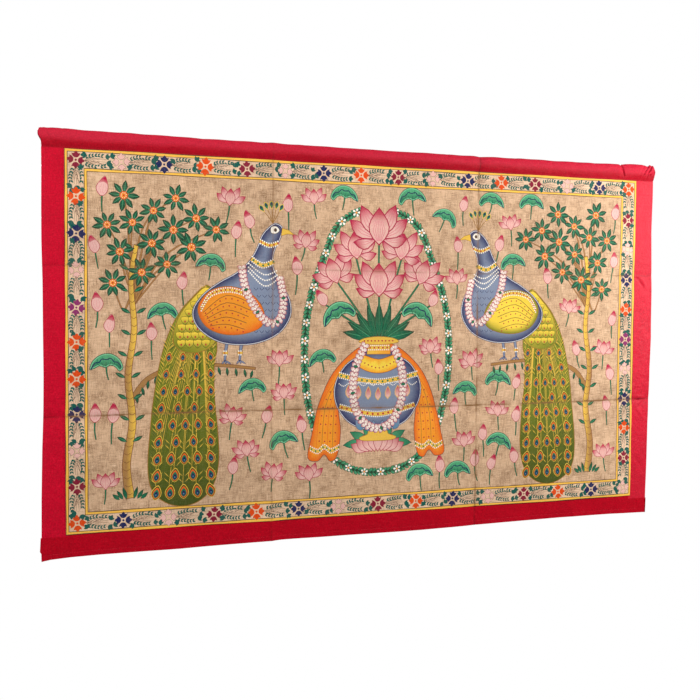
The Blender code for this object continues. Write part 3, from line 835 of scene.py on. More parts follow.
def drawVase(brush):
    drawLeafGarland(brush, curve(mirrored(vase["garland"], [(0, -50)]), 5))
    for flip in (False, True):
        drawDrape(brush.inside(0, 0, flip=flip))
    drawFoot(brush)
    drawBowl(brush)
    brush.lay(smooth(vase["swag"], 4), "lemon", rim=("amber", (4, 9)), line=("brown", 1.3))
    brush.dots(curve([(-44, 242), (0, 226), (44, 242)], 5), 11, 2.2, "ruby", steps=6)
    brush.lay([(-34, 262), (-31, 300), (31, 300), (34, 262)], "gold", fade=("amber", (-30, 0), (34, 0)),
              line=("goldDark", 1.4))
    drawBand(brush, [(-31, 280), (31, 280)], 9)
    for turn in vase["leafFan"]:
        length = 96 - abs(turn) * 0.25
        leaf = brush.inside(turn * 0.36, 306, -turn)
        leaf.blade(-4, length, 25, 0.46, 5, "leaf", ("forest", 10, length), ("forest", 1.4))
        leaf.lay(ribbon([(0, 6), (0, length * 0.86)], 1.3, 0.8), "leafPale")
    for x, y in vase["stalks"]:
        stalk = curve([(x * 0.12, 312), (x * 0.55, 312 + (y - 312) * 0.5), (x, y)], 5)
        brush.lay(ribbon(stalk, 6.5, 5), "stem", line=("stemDark", 1.0))
    for way in (-1, 1):
        drawLeaf(brush.inside(way * 112, 360, -way * 24, 1.15, flip=way > 0), stem=False)
    for way in (-1, 1):
        drawBud(brush.inside(way * 150, 392, -way * 26, 0.95), stem=False)
    for x, y, lean, size, veins in vase["flowers"]:
        drawLotus(brush.inside(x, y, lean, size), stem=False, veins=veins)
    brush.lay(smooth(vase["lip"], 3), "gold", line=("goldDark", 1.4))
    brush.dots([(-46, 298), (46, 298)], 10, 2.4, "ruby", steps=6)
    drawPetalGarland(brush, curve(mirrored(vase["neckGarland"], [(0, 66)]), 6), 0.9)


field = {
    "cell": 6.0,            # the ground is looked up in squares this wide
    "apart": {"lotus": 88.0, "bud": 0.0, "leaf": 112.0},       # two of one kind stay this far apart
    "tries": 20000,
    "patience": (400, 30),  # tries before the next kind gets its turn, in the first third and later
    "mostTaken": 0.10,      # part of its room that another motif may take
    "rooms": {              # half width, below and above, round a flower's foot, and the length of its stem
        "lotus": (39.0, 6.0, 51.0, 50.0), "bud": (15.0, 3.0, 47.0, 48.0), "leaf": (39.0, 14.0, 33.0, 42.0),
    },
    "stemRoom": 5.0,        # half width of the stem's room, and how many of its squares may be taken
    "stemTaken": 3,
    "kinds": ("lotus", "leaf", "lotus", "bud", "leaf", "lotus", "bud"),
    "petals": (4, 6, 6),
}


def boxCells(left, right, low, high):
    cell = field["cell"]
    return [(column, row) for column in range(int(left // cell), int(right // cell) + 1)
            for row in range(int(low // cell), int(high // cell) + 1)]


def cellsInside(outline):       # the squares that an outline covers
    cell = field["cell"]
    cells = {(int(x // cell), int(y // cell)) for x, y in outline}
    heights = [y for x, y in outline]
    for row in range(int(min(heights) // cell), int(max(heights) // cell) + 1):
        y = (row + 0.5) * cell
        crossings = sorted(a[0] + (y - a[1]) * (b[0] - a[0]) / (b[1] - a[1])
                           for a, b in zip(outline, outline[1:] + outline[:1])
                           if (a[1] <= y) != (b[1] <= y))
        for left, right in zip(crossings[::2], crossings[1::2]):
            cells.update(boxCells(left, right, y, y))
    return cells


def paintField(taken):
    full = set()
    for shape in taken:
        full |= cellsInside(shape[0])
    margin = painting["fieldStart"]
    number = 0
    placed = []
    for attempt in range(field["tries"]):
        kind = field["kinds"][number % len(field["kinds"])]
        wide, below, above, stem = field["rooms"][kind]
        x = rng.uniform(margin + wide, painting["width"] - margin - wide)
        y = rng.uniform(margin + stem, painting["height"] - margin - above)
        bloom = boxCells(x - wide, x + wide, y - below, y + above)
        stalk = boxCells(x - field["stemRoom"], x + field["stemRoom"], y - stem, y - below)
        near = any(kind == other and math.dist((x, y), place) < field["apart"][kind]
                   for other, place in placed)
        crowded = sum(cell in full for cell in bloom) > field["mostTaken"] * len(bloom)
        if near or crowded or sum(cell in full for cell in stalk) > field["stemTaken"]:
            patience = field["patience"][attempt > field["tries"] / 3]
            number += attempt % patience == patience - 1
            continue
        number += 1
        placed.append((kind, (x, y)))
        full.update(bloom + stalk)
        brush = Brush(x, y, rng.uniform(-9, 9), rng.uniform(0.92, 1.04), rng.random() < 0.5)
        if kind == "lotus":
            drawLotus(brush, rng.choice(field["petals"]))
        elif kind == "bud":
            drawBud(brush)
        else:
            drawLeaf(brush.inside(0, 0, rng.uniform(-16, 16)))


def paintAll():
    drawVase(Brush(857, 172, size=1.07))
    for x, flip, cloak, edge in ((163, False, "amber", "saffron"), (1552, True, "lemon", "olive")):
        grove = Brush(x, 84, flip=flip)
        drawTree(grove)
        drawPeacock(grove.inside(232, 352, 0, 1.13), cloak, edge)
    large = list(shapes)
    shapes.clear()
    paintBorder()
    paintField(large)
    shapes.extend(large)


# The painted cloth
paintedMesh = {
    "rimStep": 24.16,       # millimetres between points on the rim, at most
    "groundStep": 24.0,
    "stagger": 0.3,         # every other row of the ground's points is shifted by this share of the step
    "longestEdge": 22.0,
    "creaseRows": (-40.0, -20.0, -10.0, -4.0, 4.0, 10.0, 20.0, 40.0),
    "creaseStep": 14.0,
    "rowStep": 23.8,
    "clearRim": 4.0,        # no point that shapes the folds is nearer to the rim
    "onRim": 0.01,
    "mergeDistance": 0.03,
    "straightness": 0.08,   # a point this near to the line between its neighbours is dropped
    "chunk": 20000,         # spots that are tested against an outline in one go
    "frontShare": 0.60,     # part of the UV square's height that the front takes
    "rimLane": (0.606, 0.616),
    "backStart": 0.625,
    "backShare": 0.37,
}


def creasePath(crease, upright, shift, step):
    place, wander = crease[0] * 1000.0 + shift, crease[4] * 1000.0
    left, bottom = cloth["paintedLeft"] * 1000.0, cloth["seamBottom"] * 1000.0
    start, length = (bottom, painting["height"]) if upright else (left, painting["width"])
    lipStart, lipLength = fold["lipLeft"] * 1000.0, fold["lipRight"] - fold["lipLeft"]
    count = round(length / step)
    result = []
    for number in range(1, count):
        along = length * number / count
        if upright:
            lengthwise = (start + along) / 1000.0 / fold["bottom"]
        else:
            lengthwise = (start + along - lipStart) / 1000.0 / lipLength
        sideways = place + wander * math.sin(fold["wanderTurn"] * lengthwise)
        result.append((sideways - left, along) if upright else (along, sideways - bottom))
    return result


def clothPoints():      # the spots that shape the folds, and the crease lines as edges
    spots, edges = [], []
    for upright, creases in ((True, fold["upright"]), (False, fold["level"])):
        for crease in creases:
            path = creasePath(crease, upright, 0.0, paintedMesh["creaseStep"])
            edges += [(len(spots) + n, len(spots) + n + 1) for n in range(len(path) - 1)]
            spots += path
            for shift in paintedMesh["creaseRows"]:
                spots += creasePath(crease, upright, shift, paintedMesh["rowStep"])
    width, height = painting["width"], painting["height"]
    across, up = round(width / paintedMesh["groundStep"]), round(height / paintedMesh["groundStep"])
    for column in range(1, across):
        for row in range(1, up):
            stagger = paintedMesh["stagger"] * (row % 2)
            spots.append((width * (column + stagger) / across, height * row / up))
    clear = paintedMesh["clearRim"]
    inside = [clear < x < width - clear and clear < y < height - clear for x, y in spots]
    renumber = np.cumsum(inside) - 1
    edges = [(int(renumber[a]), int(renumber[b])) for a, b in edges if inside[a] and inside[b]]
    return [spot for spot, keep in zip(spots, inside) if keep], edges


def triangulate(outlines, withCreases):
    points, edges = clothPoints()
    edges = edges if withCreases else []
    for outline in outlines:
        first, count = len(points), len(outline)
        edges += [(first + n, first + (n + 1) % count) for n in range(count)]
        points += outline
    return solve(points, edges)


def solve(points, edges):
    points = [Vector(point) for point in points]
    result = delaunay_2d_cdt(points, edges, [], 0, paintedMesh["mergeDistance"], False)
    places = np.array([(v.x, v.y) for v in result[0]])
    corners = np.array(result[2])
    a, b, c = (places[corners[:, n]] for n in range(3))
    area = (b[:, 0] - a[:, 0]) * (c[:, 1] - a[:, 1]) - (b[:, 1] - a[:, 1]) * (c[:, 0] - a[:, 0])
    corners[area < 0.0] = corners[area < 0.0][:, ::-1]
    return places, corners


def edgesOf(corners):
    return np.concatenate([corners[:, [0, 1]], corners[:, [1, 2]], corners[:, [2, 0]]])


def dropHidden(places, corners, topmost):     # triangulates again round the edges that show
    looks = {}
    look = np.array([looks.setdefault(repr(shape[1:]), len(looks)) for shape in shapes])[topmost]
    edges = np.sort(edgesOf(corners), axis=1)
    key = edges[:, 0] * len(places) + edges[:, 1]
    order = np.argsort(key, kind="stable")
    key, owner = key[order], np.tile(look, 3)[order]
    paired = np.r_[key[1:] == key[:-1], False]
    shows = paired & (owner != np.r_[owner[1:], -1])
    alone = ~paired & ~np.r_[False, paired[:-1]]
    key = key[shows | alone]
    first, second = key // len(places), key % len(places)
    used, joined = np.unique(np.r_[first, second], return_inverse=True)
    points, edges = straightened(places[used], joined[:len(first)], joined[len(first):])
    spots, creaseEdges = clothPoints()
    edges += [(len(points) + a, len(points) + b) for a, b in creaseEdges]
    return solve(list(points) + spots, edges)


def rimSides(spots):        # whether each spot is on an upright side of the rim, and on a level one
    farSides = np.array([painting["width"], painting["height"]])
    return (spots < paintedMesh["onRim"]) | (spots > farSides - paintedMesh["onRim"])


def straightened(points, first, second):      # takes out the points in the middle of straight edges
    near = [set() for _ in points]
    for a, b in zip(first.tolist(), second.tolist()):
        near[a].add(b)
        near[b].add(a)
    onRim = rimSides(points).any(axis=1)
    for here, others in enumerate(near):
        if len(others) == 2 and not onRim[here]:
            a, b = others
            ab = points[b] - points[a]
            toHere = points[here] - points[a]
            away, length = abs(ab[0] * toHere[1] - ab[1] * toHere[0]), math.hypot(*ab)
            straight = length < paintedMesh["longestEdge"] and away < paintedMesh["straightness"] * length
            if b not in near[a] and straight:
                near[a] = near[a] - {here} | {b}
                near[b] = near[b] - {here} | {a}
                near[here] = set()
    kept = [n for n, others in enumerate(near) if others]
    renumber = {n: number for number, n in enumerate(kept)}
    edges = [(renumber[a], renumber[b]) for a in kept for b in near[a] if a < b]
    return points[kept], edges


def insideOutline(outline, spots):      # by winding number
    ax, ay = outline[:, 0], outline[:, 1]
    bx, by = np.roll(ax, -1), np.roll(ay, -1)
    rise = by - ay
    slope = (bx - ax) / np.where(rise == 0.0, 1.0, rise)
    inside = np.zeros(len(spots), bool)
    for start in range(0, len(spots), paintedMesh["chunk"]):
        part = slice(start, start + paintedMesh["chunk"])
        x, y = spots[part, :1], spots[part, 1:]
        right = x < ax + (y - ay) * slope
        up, down = (ay <= y) & (by > y) & right, (ay > y) & (by <= y) & right
        inside[part] = up.sum(axis=1) != down.sum(axis=1)
    return inside


def topmostShapes(places, corners):     # the last shape drawn over each triangle
    centres = places[corners].mean(axis=1)
    order = np.argsort(centres[:, 0], kind="stable")
    sortedX = centres[order, 0]
    topmost = np.zeros(len(corners), int)
    for number, shape in enumerate(shapes[1:], 1):
        outline = np.array(shape[0])
        low, high = outline.min(axis=0), outline.max(axis=0)
        rows = order[np.searchsorted(sortedX, low[0]):np.searchsorted(sortedX, high[0])]
        rows = rows[(centres[rows, 1] > low[1]) & (centres[rows, 1] < high[1])]
        topmost[rows[insideOutline(outline, centres[rows])]] = number
    return topmost


def toneOf(recipe, spots):
    kind, tone = recipe[0], np.array(recipe[1])
    if kind == "flat":
        return np.tile(tone, (len(spots), 1))
    other = np.array(recipe[2])
    if kind == "along":
        start, end = np.array(recipe[3]), np.array(recipe[4])
        axis = end - start
        share = ((spots - start) @ axis) / max(axis @ axis, 1e-9)
    else:
        rim = np.array(recipe[3])
        step = np.roll(rim, -1, axis=0) - rim
        reach = spots[:, None, :] - rim[None]
        part = np.clip((reach * step).sum(-1) / np.maximum((step ** 2).sum(-1), 1e-9), 0.0, 1.0)
        share = np.linalg.norm(reach - part[..., None] * step[None], axis=-1).min(axis=1) / recipe[4]
        tone, other = other, tone
    share = np.clip(share, 0.0, 1.0)[:, None]
    return tone * (1.0 - share) + other * share


def cornerTones(places, corners, topmost):
    result = np.zeros((len(corners), 3, 4))
    order = np.argsort(topmost, kind="stable")
    starts = np.flatnonzero(np.r_[True, np.diff(topmost[order]) > 0])
    for start, end in zip(starts, np.r_[starts[1:], len(order)]):
        rows = order[start:end]
        outline, recipe, cover = shapes[topmost[rows[0]]]
        spots = places[corners[rows]].reshape(-1, 2)
        result[rows, :, :3] = toneOf(recipe, spots).reshape(-1, 3, 3)
        result[rows, :, 3] = cover
    return result.reshape(-1, 4)


def boundaryLoop(corners, count):       # the rim's points in order, counter-clockwise
    edges = edgesOf(corners)
    key = np.minimum(edges[:, 0], edges[:, 1]) * count + np.maximum(edges[:, 0], edges[:, 1])
    first, uses = np.unique(key, return_index=True, return_counts=True)[1:]
    following = {int(a): int(b) for a, b in edges[first[uses == 1]]}
    start = min(following)
    loop = [start]
    while following[loop[-1]] != start:
        loop.append(following[loop[-1]])
    return loop


def onCloth(spots, behind):     # where the painting's spots lie on the folded cloth, and their normals
    x = cloth["paintedLeft"] + spots[:, 0] / 1000.0
    z = cloth["seamBottom"] + spots[:, 1] / 1000.0
    sides = rimSides(spots)
    wanderX = cloth["edgeWander"] * np.sin(9.0 * z) * sides[:, 0]
    wanderZ = cloth["edgeWander"] * np.sin(8.0 * x) * sides[:, 1]
    depth = foldDepth(x, z) - (0.0 if behind else cloth["sheet"])
    return np.stack([x + wanderX, depth, z + wanderZ], axis=-1), foldNormal(x, z)


def makeMesh(name, points, faces, **uvLayers):
    mesh = bpy.data.meshes.new(name)
    mesh.from_pydata(np.concatenate(points).tolist(), [], faces)
    for layer, uvs in uvLayers.items():
        mesh.uv_layers.new(name=layer).data.foreach_set("uv", np.array(uvs, "f").ravel())
    mesh.shade_smooth()
    return mesh


def makePaintedCloth():
    rim = divided(shapes[0][0], paintedMesh["rimStep"])
    outlines = [divided(shape[0], paintedMesh["longestEdge"]) for shape in shapes[1:]]
    places, corners = triangulate([rim] + outlines, True)
    places, corners = dropHidden(places, corners, topmostShapes(places, corners))
    paint = cornerTones(places, corners, topmostShapes(places, corners))
    backPlaces, backCorners = triangulate([rim], False)
    loop, backLoop = boundaryLoop(corners, len(places)), boundaryLoop(backCorners, len(backPlaces))
    shift = int(np.argmin([math.dist(places[loop[0]], backPlaces[n]) for n in backLoop]))
    backLoop = backLoop[shift:] + backLoop[:shift]
    if len(loop) != len(backLoop):
        raise RuntimeError("the painted cloth's front and back rims differ")

    front, frontNormals = onCloth(places, False)
    back, backNormals = onCloth(backPlaces, True)
    count, backRings = len(front), backCorners[:, ::-1]
    faces = corners.tolist() + (backRings + count).tolist()
    whole = (painting["width"], painting["height"])
    uvs = list(places[corners.ravel()] / whole * (1.0, paintedMesh["frontShare"]))
    uvs += list(backPlaces[backRings.ravel()] / whole * (1.0, paintedMesh["backShare"])
                + (0.0, paintedMesh["backStart"]))
    sizes = [places[corners.ravel()] / 1000.0, backPlaces[backRings.ravel()] / 1000.0]
    rimNormals = []
    low, high = paintedMesh["rimLane"]
    for n in range(len(loop)):
        after = (n + 1) % len(loop)
        a, b = loop[n], loop[after]
        faces.append((a, backLoop[n] + count, backLoop[after] + count, b))
        left, right = n / len(loop), (n + 1) / len(loop)
        uvs += [(left, low), (left, high), (right, high), (right, low)]
        sizes.append(places[[a, a, b, b]] / 1000.0)
        side = places[b] - places[a]
        rimNormals += [(side[1], 0.0, -side[0])] * 4
    rimNormals = np.array(rimNormals) / np.linalg.norm(rimNormals, axis=1, keepdims=True)

    mesh = makeMesh("painted_centre", [front, back], faces, OFBake=uvs, clothSize=np.concatenate(sizes))
    bare = np.tile([*linear("ground"), 0.0], (len(mesh.loops) - len(paint), 1))
    tone = mesh.color_attributes.new("paint", "FLOAT_COLOR", "CORNER")
    tone.data.foreach_set("color", np.concatenate([paint, bare]).astype("f").ravel())
    isBack = np.arange(len(faces)) >= len(corners)
    mesh.polygons.foreach_set("material_index", isBack.astype("i"))
    normals = [frontNormals[corners.ravel()], -backNormals[backRings.ravel()], rimNormals]
    mesh.normals_split_custom_set(np.concatenate(normals).tolist())
    mesh.update()
    print("painted cloth:", len(shapes), "shapes,", len(corners), "front triangles,", len(faces), "faces")
    return addObject("painted_centre", mesh)


# The red cloth
redCloth = {
    "step": 0.0032,
    "topEdge": (
        (-.924, .0030), (-.913, .0050), (-.870, .0046), (-.820, .0028), (-.600, .0025), (-.515, .0002),
        (-.434, .0009), (-.090, 0.), (.310, .0001), (.476, .0014), (.684, .0016), (.800, .0039),
        (.905, .0059), (.919, .0035),
    ),
    "bottomEdge": (
        (-.924, -1.0899), (-.899, -1.0859), (-.850, -1.0831), (-.775, -1.0818), (-.566, -1.0829),
        (-.458, -1.0818), (-.346, -1.0812), (-.289, -1.0794), (-.110, -1.0809), (.134, -1.0829),
        (.310, -1.0806), (.396, -1.0790), (.600, -1.0774), (.780, -1.0784), (.913, -1.0812),
    ),
    "stripSides": (         # z, left edge, right edge
        (-.044, -.9168, .9164), (-.100, -.9165, .9168), (-.200, -.9172, .9152), (-.280, -.9172, .9168),
        (-.380, -.9150, .9200), (-.530, -.9144, .9216), (-.620, -.9139, .9182), (-.720, -.9148, .9186),
        (-.800, -.9178, .9154), (-.930, -.9204, .9138), (-1.035, -.9208, .9124),
    ),
    "bandSides": (
        (-1.018, -.9226, .9134), (-1.030, -.9230, .9130), (-1.066, -.9250, .9122), (-1.068, -.9216, .9120),
        (-1.090, -.9212, .9110),
    ),
    "stripSteps": 20,       # points across a strip and down the band, besides those round the hem line
    "bandSteps": 19,
    "sleeveCorner": (-.0455, -.0449),
    "bandCorner": (-1.0290, -1.0350),
    "cornerStep": 0.0004,
    "stripHem": 0.0085,     # the sewn hem lines, in from the outer edges
    "bandHem": 0.0125,
    "stripWidth": 0.060,
    "bandWidth": 0.062,
    "hemDip": 0.0004,
    "hemReach": 0.0016,
    "sharpAngle": 50,
}
sheetUv = {                 # how a sheet's lengths lie over each other in the UV square
    "lengths": 4,
    "endGap": 0.004,
    "sideStart": 0.01,      # the rest as shares of one length's height
    "sideWidth": 0.46,
    "backStart": 0.5,
    "rim": (0.976, 0.992),
}
sleeve = {
    "step": 0.0045,
    "endStep": 0.0010,
    "endRound": 0.008,      # how far the top corners are rounded
    "endDrop": 0.8,
    "endLengths": (0.030, 0.135),   # how far in from the left and right ends the finer steps reach
    "reach": 0.0095,
    "belly": 0.021,
    "start": 0.0005,
    "lowerSteps": 8,
    "arcSteps": 22,
    "straightness": 0.75,
    "lipLow": 0.014,
    "lipHigh": 0.034,
    "lipReach": 0.045,
    "neckLeft": -0.9162,
    "neckRight": 0.9160,
    "gathers": (            # x, pinch, reach, lean
        (-.905, .0012, .009, .10), (-.640, .0006, .030, .30), (-.317, -.0008, .014, 0.),
        (.050, .0007, .040, -.40), (.310, .0015, .012, 0.), (.560, .0006, .030, .30),
        (.803, .0024, .009, -.22), (.850, -.0016, .026, 0.), (.901, .0036, .007, -.35),
    ),
    "tucks": (              # narrow folds: x, depth, reach, lean
        (-.9000, .0012, .0030, -.55), (-.8740, .0007, .0040, .30), (-.5200, .0005, .0060, .50),
        (-.2100, .0005, .0070, -.60), (.1900, .0005, .0060, .55), (.4400, .0006, .0070, -.50),
        (.6900, .0006, .0050, .45), (.8035, .0046, .0017, -.30), (.8075, -.0012, .0030, -.26),
        (.8660, .0012, .0030, .60), (.8800, .0034, .0017, .75), (.8850, -.0012, .0028, .70),
        (.8960, .0040, .0016, .55), (.9010, -.0014, .0026, .50), (.9080, .0036, .0015, .85),
        (.9140, .0016, .0018, .20),
    ),
    "tuckBend": 9.0,        # the tucks curve as they go up
    "tuckPower": 1.4,
    "tuckRise": (0.002, 0.012),     # they begin between these heights over the seam
    "ripple": 0.00028,
}


def readEdge(table, value, column=1):
    keys = np.array([row[0] for row in table])
    values = np.array([row[column] for row in table])
    order = np.argsort(keys)
    return np.interp(value, keys[order], values[order])


def evenly(first, last, step, extra=()):
    count = max(2, round(abs(last - first) / step))
    marks = list(np.linspace(first, last, count + 1))
    marks += [mark for mark in extra if min(first, last) < mark < max(first, last)]
    return np.array(sorted(set(np.round(marks, 6)), reverse=last < first))


# A closed sheet from a grid of middle points. Rows run down and columns to the right, seen from in front.
def makeSheet(name, middle, frontReach, backReach):
    rows, columns = middle.shape[:2]
    normal = np.cross(np.gradient(middle, axis=0), np.gradient(middle, axis=1))
    normal /= np.linalg.norm(normal, axis=-1, keepdims=True)
    front, back = middle + normal * frontReach, middle - normal * backReach
    count = rows * columns
    rowLength, columnLength = (
        np.r_[0.0, np.cumsum(np.linalg.norm(np.diff(middle, axis=axis), axis=-1).mean(axis=1 - axis))]
        for axis in (0, 1))
    upright = bool(rowLength[-1] > columnLength[-1])
    along, across = (rowLength, columnLength) if upright else (columnLength, rowLength)
    lengths, endGap = sheetUv["lengths"], sheetUv["endGap"]
    cuts = np.linspace(0, len(along) - 1, lengths + 1).round().astype(int)
    faces, spots, bakeUvs = [], [], []

    def addFace(ring, back):
        faces.append([back * count + row * columns + column for row, column in ring])
        spots.extend(ring)
        cut = int(np.searchsorted(cuts, min(spot[not upright] for spot in ring), side="right")) - 1
        start, end = along[cuts[cut]], along[cuts[cut + 1]]
        for spot in ring:
            share = (along[spot[not upright]] - start) / (end - start)
            side = across[spot[upright]] / across[-1]
            lane = cut + sheetUv["backStart"] * back + sheetUv["sideStart"] + side * sheetUv["sideWidth"]
            bakeUvs.append((endGap + share * (1.0 - 2.0 * endGap), lane / lengths))

    for row in range(rows - 1):
        for column in range(columns - 1):
            ring = [(row, column), (row + 1, column), (row + 1, column + 1), (row, column + 1)]
            addFace(ring, False)
            addFace(ring[::-1], True)
    rim = [(row, 0) for row in range(rows)] + [(rows - 1, column) for column in range(1, columns)]
    rim += [(row, columns - 1) for row in range(rows - 2, -1, -1)]
    rim += [(0, column) for column in range(columns - 2, 0, -1)]
    low, high = (lane / lengths for lane in sheetUv["rim"])
    for number, (a, b) in enumerate(zip(rim, rim[1:] + rim[:1])):
        first, second = a[0] * columns + a[1], b[0] * columns + b[1]
        faces.append([first, count + first, count + second, second])
        spots.extend([a, a, b, b])
        start, end = number / len(rim), (number + 1) / len(rim)
        bakeUvs.extend([(start, low), (start, high), (end, high), (end, low)])
    sizeUvs = [(columnLength[column], rowLength[-1] - rowLength[row]) for row, column in spots]
    points = [front.reshape(-1, 3), back.reshape(-1, 3)]
    mesh = makeMesh(name, points, faces, OFBake=bakeUvs, clothSize=sizeUvs)
    mesh.set_sharp_from_angle(angle=math.radians(redCloth["sharpAngle"]))
    print(name + ":", len(faces), "faces,", round(columnLength[-1], 4), "by", round(rowLength[-1], 4), "m")
    return addObject(name, mesh), (float(columnLength[-1]), float(rowLength[-1]))


def lapSides():     # where the painted cloth's laps begin at the left and right, and the way in from there
    lap = cloth["lap"] - cloth["cornerOverlap"]
    return (cloth["paintedLeft"] + lap, 1.0), (cloth["paintedRight"] - lap, -1.0)


def lappedEdge(x, corners, inside):
    edges = []
    for (start, way), corner in zip(lapSides(), corners):
        share = np.clip(way * (x - start) / redCloth["cornerStep"], 0.0, 1.0)
        edges.append(corner + (inside - corner) * share)
    return np.where(x < 0.0, *edges)


def columnMarks():      # where a row of points has to be: the painted cloth's corners and the creases
    marks = [crease[0] for crease in fold["upright"]]
    for start, way in lapSides():
        marks += [start, start + way * redCloth["cornerStep"]]
    return marks


def hemShares(hem, width):      # rows of points round a hem line, as shares of the width
    return (hem + np.arange(-2, 3) * redCloth["hemReach"] * 0.7) / width


def sewnDip(away, along):       # how deep a row of stitches pulls the cloth in
    pucker = 0.7 + 0.3 * np.sin(along * 410.0 + 1.5 * np.sin(along * 93.0))
    return redCloth["hemDip"] * pucker * np.exp(-(away / redCloth["hemReach"]) ** 2)


def hemmedSheet(name, x, z, fromHem, along, thickness):     # behind the painted cloth, with a hem line
    depth = foldDepth(x, z) + cloth["gap"] + sewnDip(fromHem, along)
    return makeSheet(name, np.stack([x, depth, z], axis=-1), 0.0, thickness)


def makeStrip(name, side):
    isLeft = side == "left"
    inner = cloth["paintedLeft"] + cloth["lap"] if isLeft else cloth["paintedRight"] - cloth["lap"]
    top = redCloth["sleeveCorner"][not isLeft] + cloth["cornerOverlap"]
    bottom = redCloth["bandCorner"][not isLeft] - cloth["cornerOverlap"]
    z = evenly(top, bottom, redCloth["step"], [crease[0] for crease in fold["level"]])[:, None]
    outer = readEdge(redCloth["stripSides"], z, 1 if isLeft else 2)
    hem = hemShares(redCloth["stripHem"], redCloth["stripWidth"])
    hem = hem if isLeft else 1.0 - hem
    share = np.sort(np.r_[np.linspace(0.0, 1.0, redCloth["stripSteps"] + 1), hem])[None]
    x = outer + (inner - outer) * share if isLeft else inner + (outer - inner) * share
    z = np.broadcast_to(z, x.shape)
    return hemmedSheet(name, x, z, np.abs(x - outer) - redCloth["stripHem"], z, cloth["sheet"])


def makeBand():
    left, right = redCloth["bandSides"][0][1:]
    marks = columnMarks() + [point[0] for point in redCloth["bottomEdge"]]
    x = evenly(left, right, redCloth["step"], marks)[None]
    hem = 1.0 - hemShares(redCloth["bandHem"], redCloth["bandWidth"])
    share = np.sort(np.r_[np.linspace(0.0, 1.0, redCloth["bandSteps"] + 1), hem])[:, None]
    top = lappedEdge(x, redCloth["bandCorner"], cloth["seamBottom"] + cloth["lap"])
    z = top + (readEdge(redCloth["bottomEdge"], x) - top) * share
    x = np.array(np.broadcast_to(x, z.shape))
    x[:, 0] = readEdge(redCloth["bandSides"], z[:, 0], 1)
    x[:, -1] = readEdge(redCloth["bandSides"], z[:, -1], 2)
    fromHem = z - readEdge(redCloth["bottomEdge"], x) - redCloth["bandHem"]
    return hemmedSheet("hem_band", x, z, fromHem, x, cloth["hem"])


def sleevePath():       # depth, height over the seam and roundness, from the front seam over to the back seam
    ply = (cloth["sheet"] + cloth["plyGap"]) / 2.0
    crown = -cloth["seamTop"] - cloth["sheet"] / 2.0 - sleeve["belly"]
    front = [(-ply, None, 0.0), (-ply, sleeve["start"], 0.0)]
    for number in range(1, sleeve["lowerSteps"] + 1):
        share = number / (sleeve["lowerSteps"] + 1)
        depth = ply + (sleeve["reach"] - ply) * math.sin(share * math.pi / 2.0)
        front.append((-depth, sleeve["start"] + (sleeve["belly"] - sleeve["start"]) * share, share))
    arc = []
    for number in range(sleeve["arcSteps"] + 1):
        angle = math.pi * (1.0 - number / sleeve["arcSteps"])
        arc.append((sleeve["reach"] * math.cos(angle), sleeve["belly"] + crown * math.sin(angle), 1.0))
    back = [(-depth, height, roundness) for depth, height, roundness in front[::-1]]
    return front + arc + back


def smoothShare(value, low, high):
    share = np.clip((value - low) / (high - low), 0.0, 1.0)
    return share * share * (3.0 - 2.0 * share)


def sleevePinch(x, height):     # how far the gathers, tucks and ripples press the sleeve in
    pinch = np.zeros_like(x)
    overMiddle = height + cloth["seamTop"] / 2.0
    for place, strength, reach, lean in sleeve["gathers"]:
        offset = x - place - lean * overMiddle
        pinch += strength * np.exp(-((offset / reach) ** 2))
    for place, strength, reach, lean in sleeve["tucks"]:
        offset = x - place - lean * overMiddle - sleeve["tuckBend"] * lean * overMiddle ** 2
        fall = np.exp(-np.abs(offset / reach) ** sleeve["tuckPower"])
        pinch += strength * fall * smoothShare(height, *sleeve["tuckRise"])
    wave = np.sin(83.0 * x + 130.0 * height) + np.sin(57.0 * x - 90.0 * height + 2.0 * np.sin(19.0 * x))
    return pinch + sleeve["ripple"] * wave


def sleeveHeight(x, height, squeeze):       # the height with the sleeve's own top edge and rounded corners
    seam = cloth["seamTop"]
    tall = -seam - sleeve["belly"]
    over = height - sleeve["belly"]
    raised = height + np.maximum(over, 0.0) * (squeeze - 1.0) * sleeve["reach"] / tall
    raised *= (readEdge(redCloth["topEdge"], x) - seam) / -seam
    fromEnd = np.minimum(x - fold["lipLeft"], fold["lipRight"] - x)
    inEnd = np.clip(sleeve["endRound"] - fromEnd, 0.0, None)
    drop = sleeve["endRound"] - np.sqrt(sleeve["endRound"] ** 2 - inEnd ** 2)
    raised -= drop * sleeve["endDrop"] * np.clip(over / tall, 0.0, 1.0)
    return np.where(height > 0.0, raised, height)


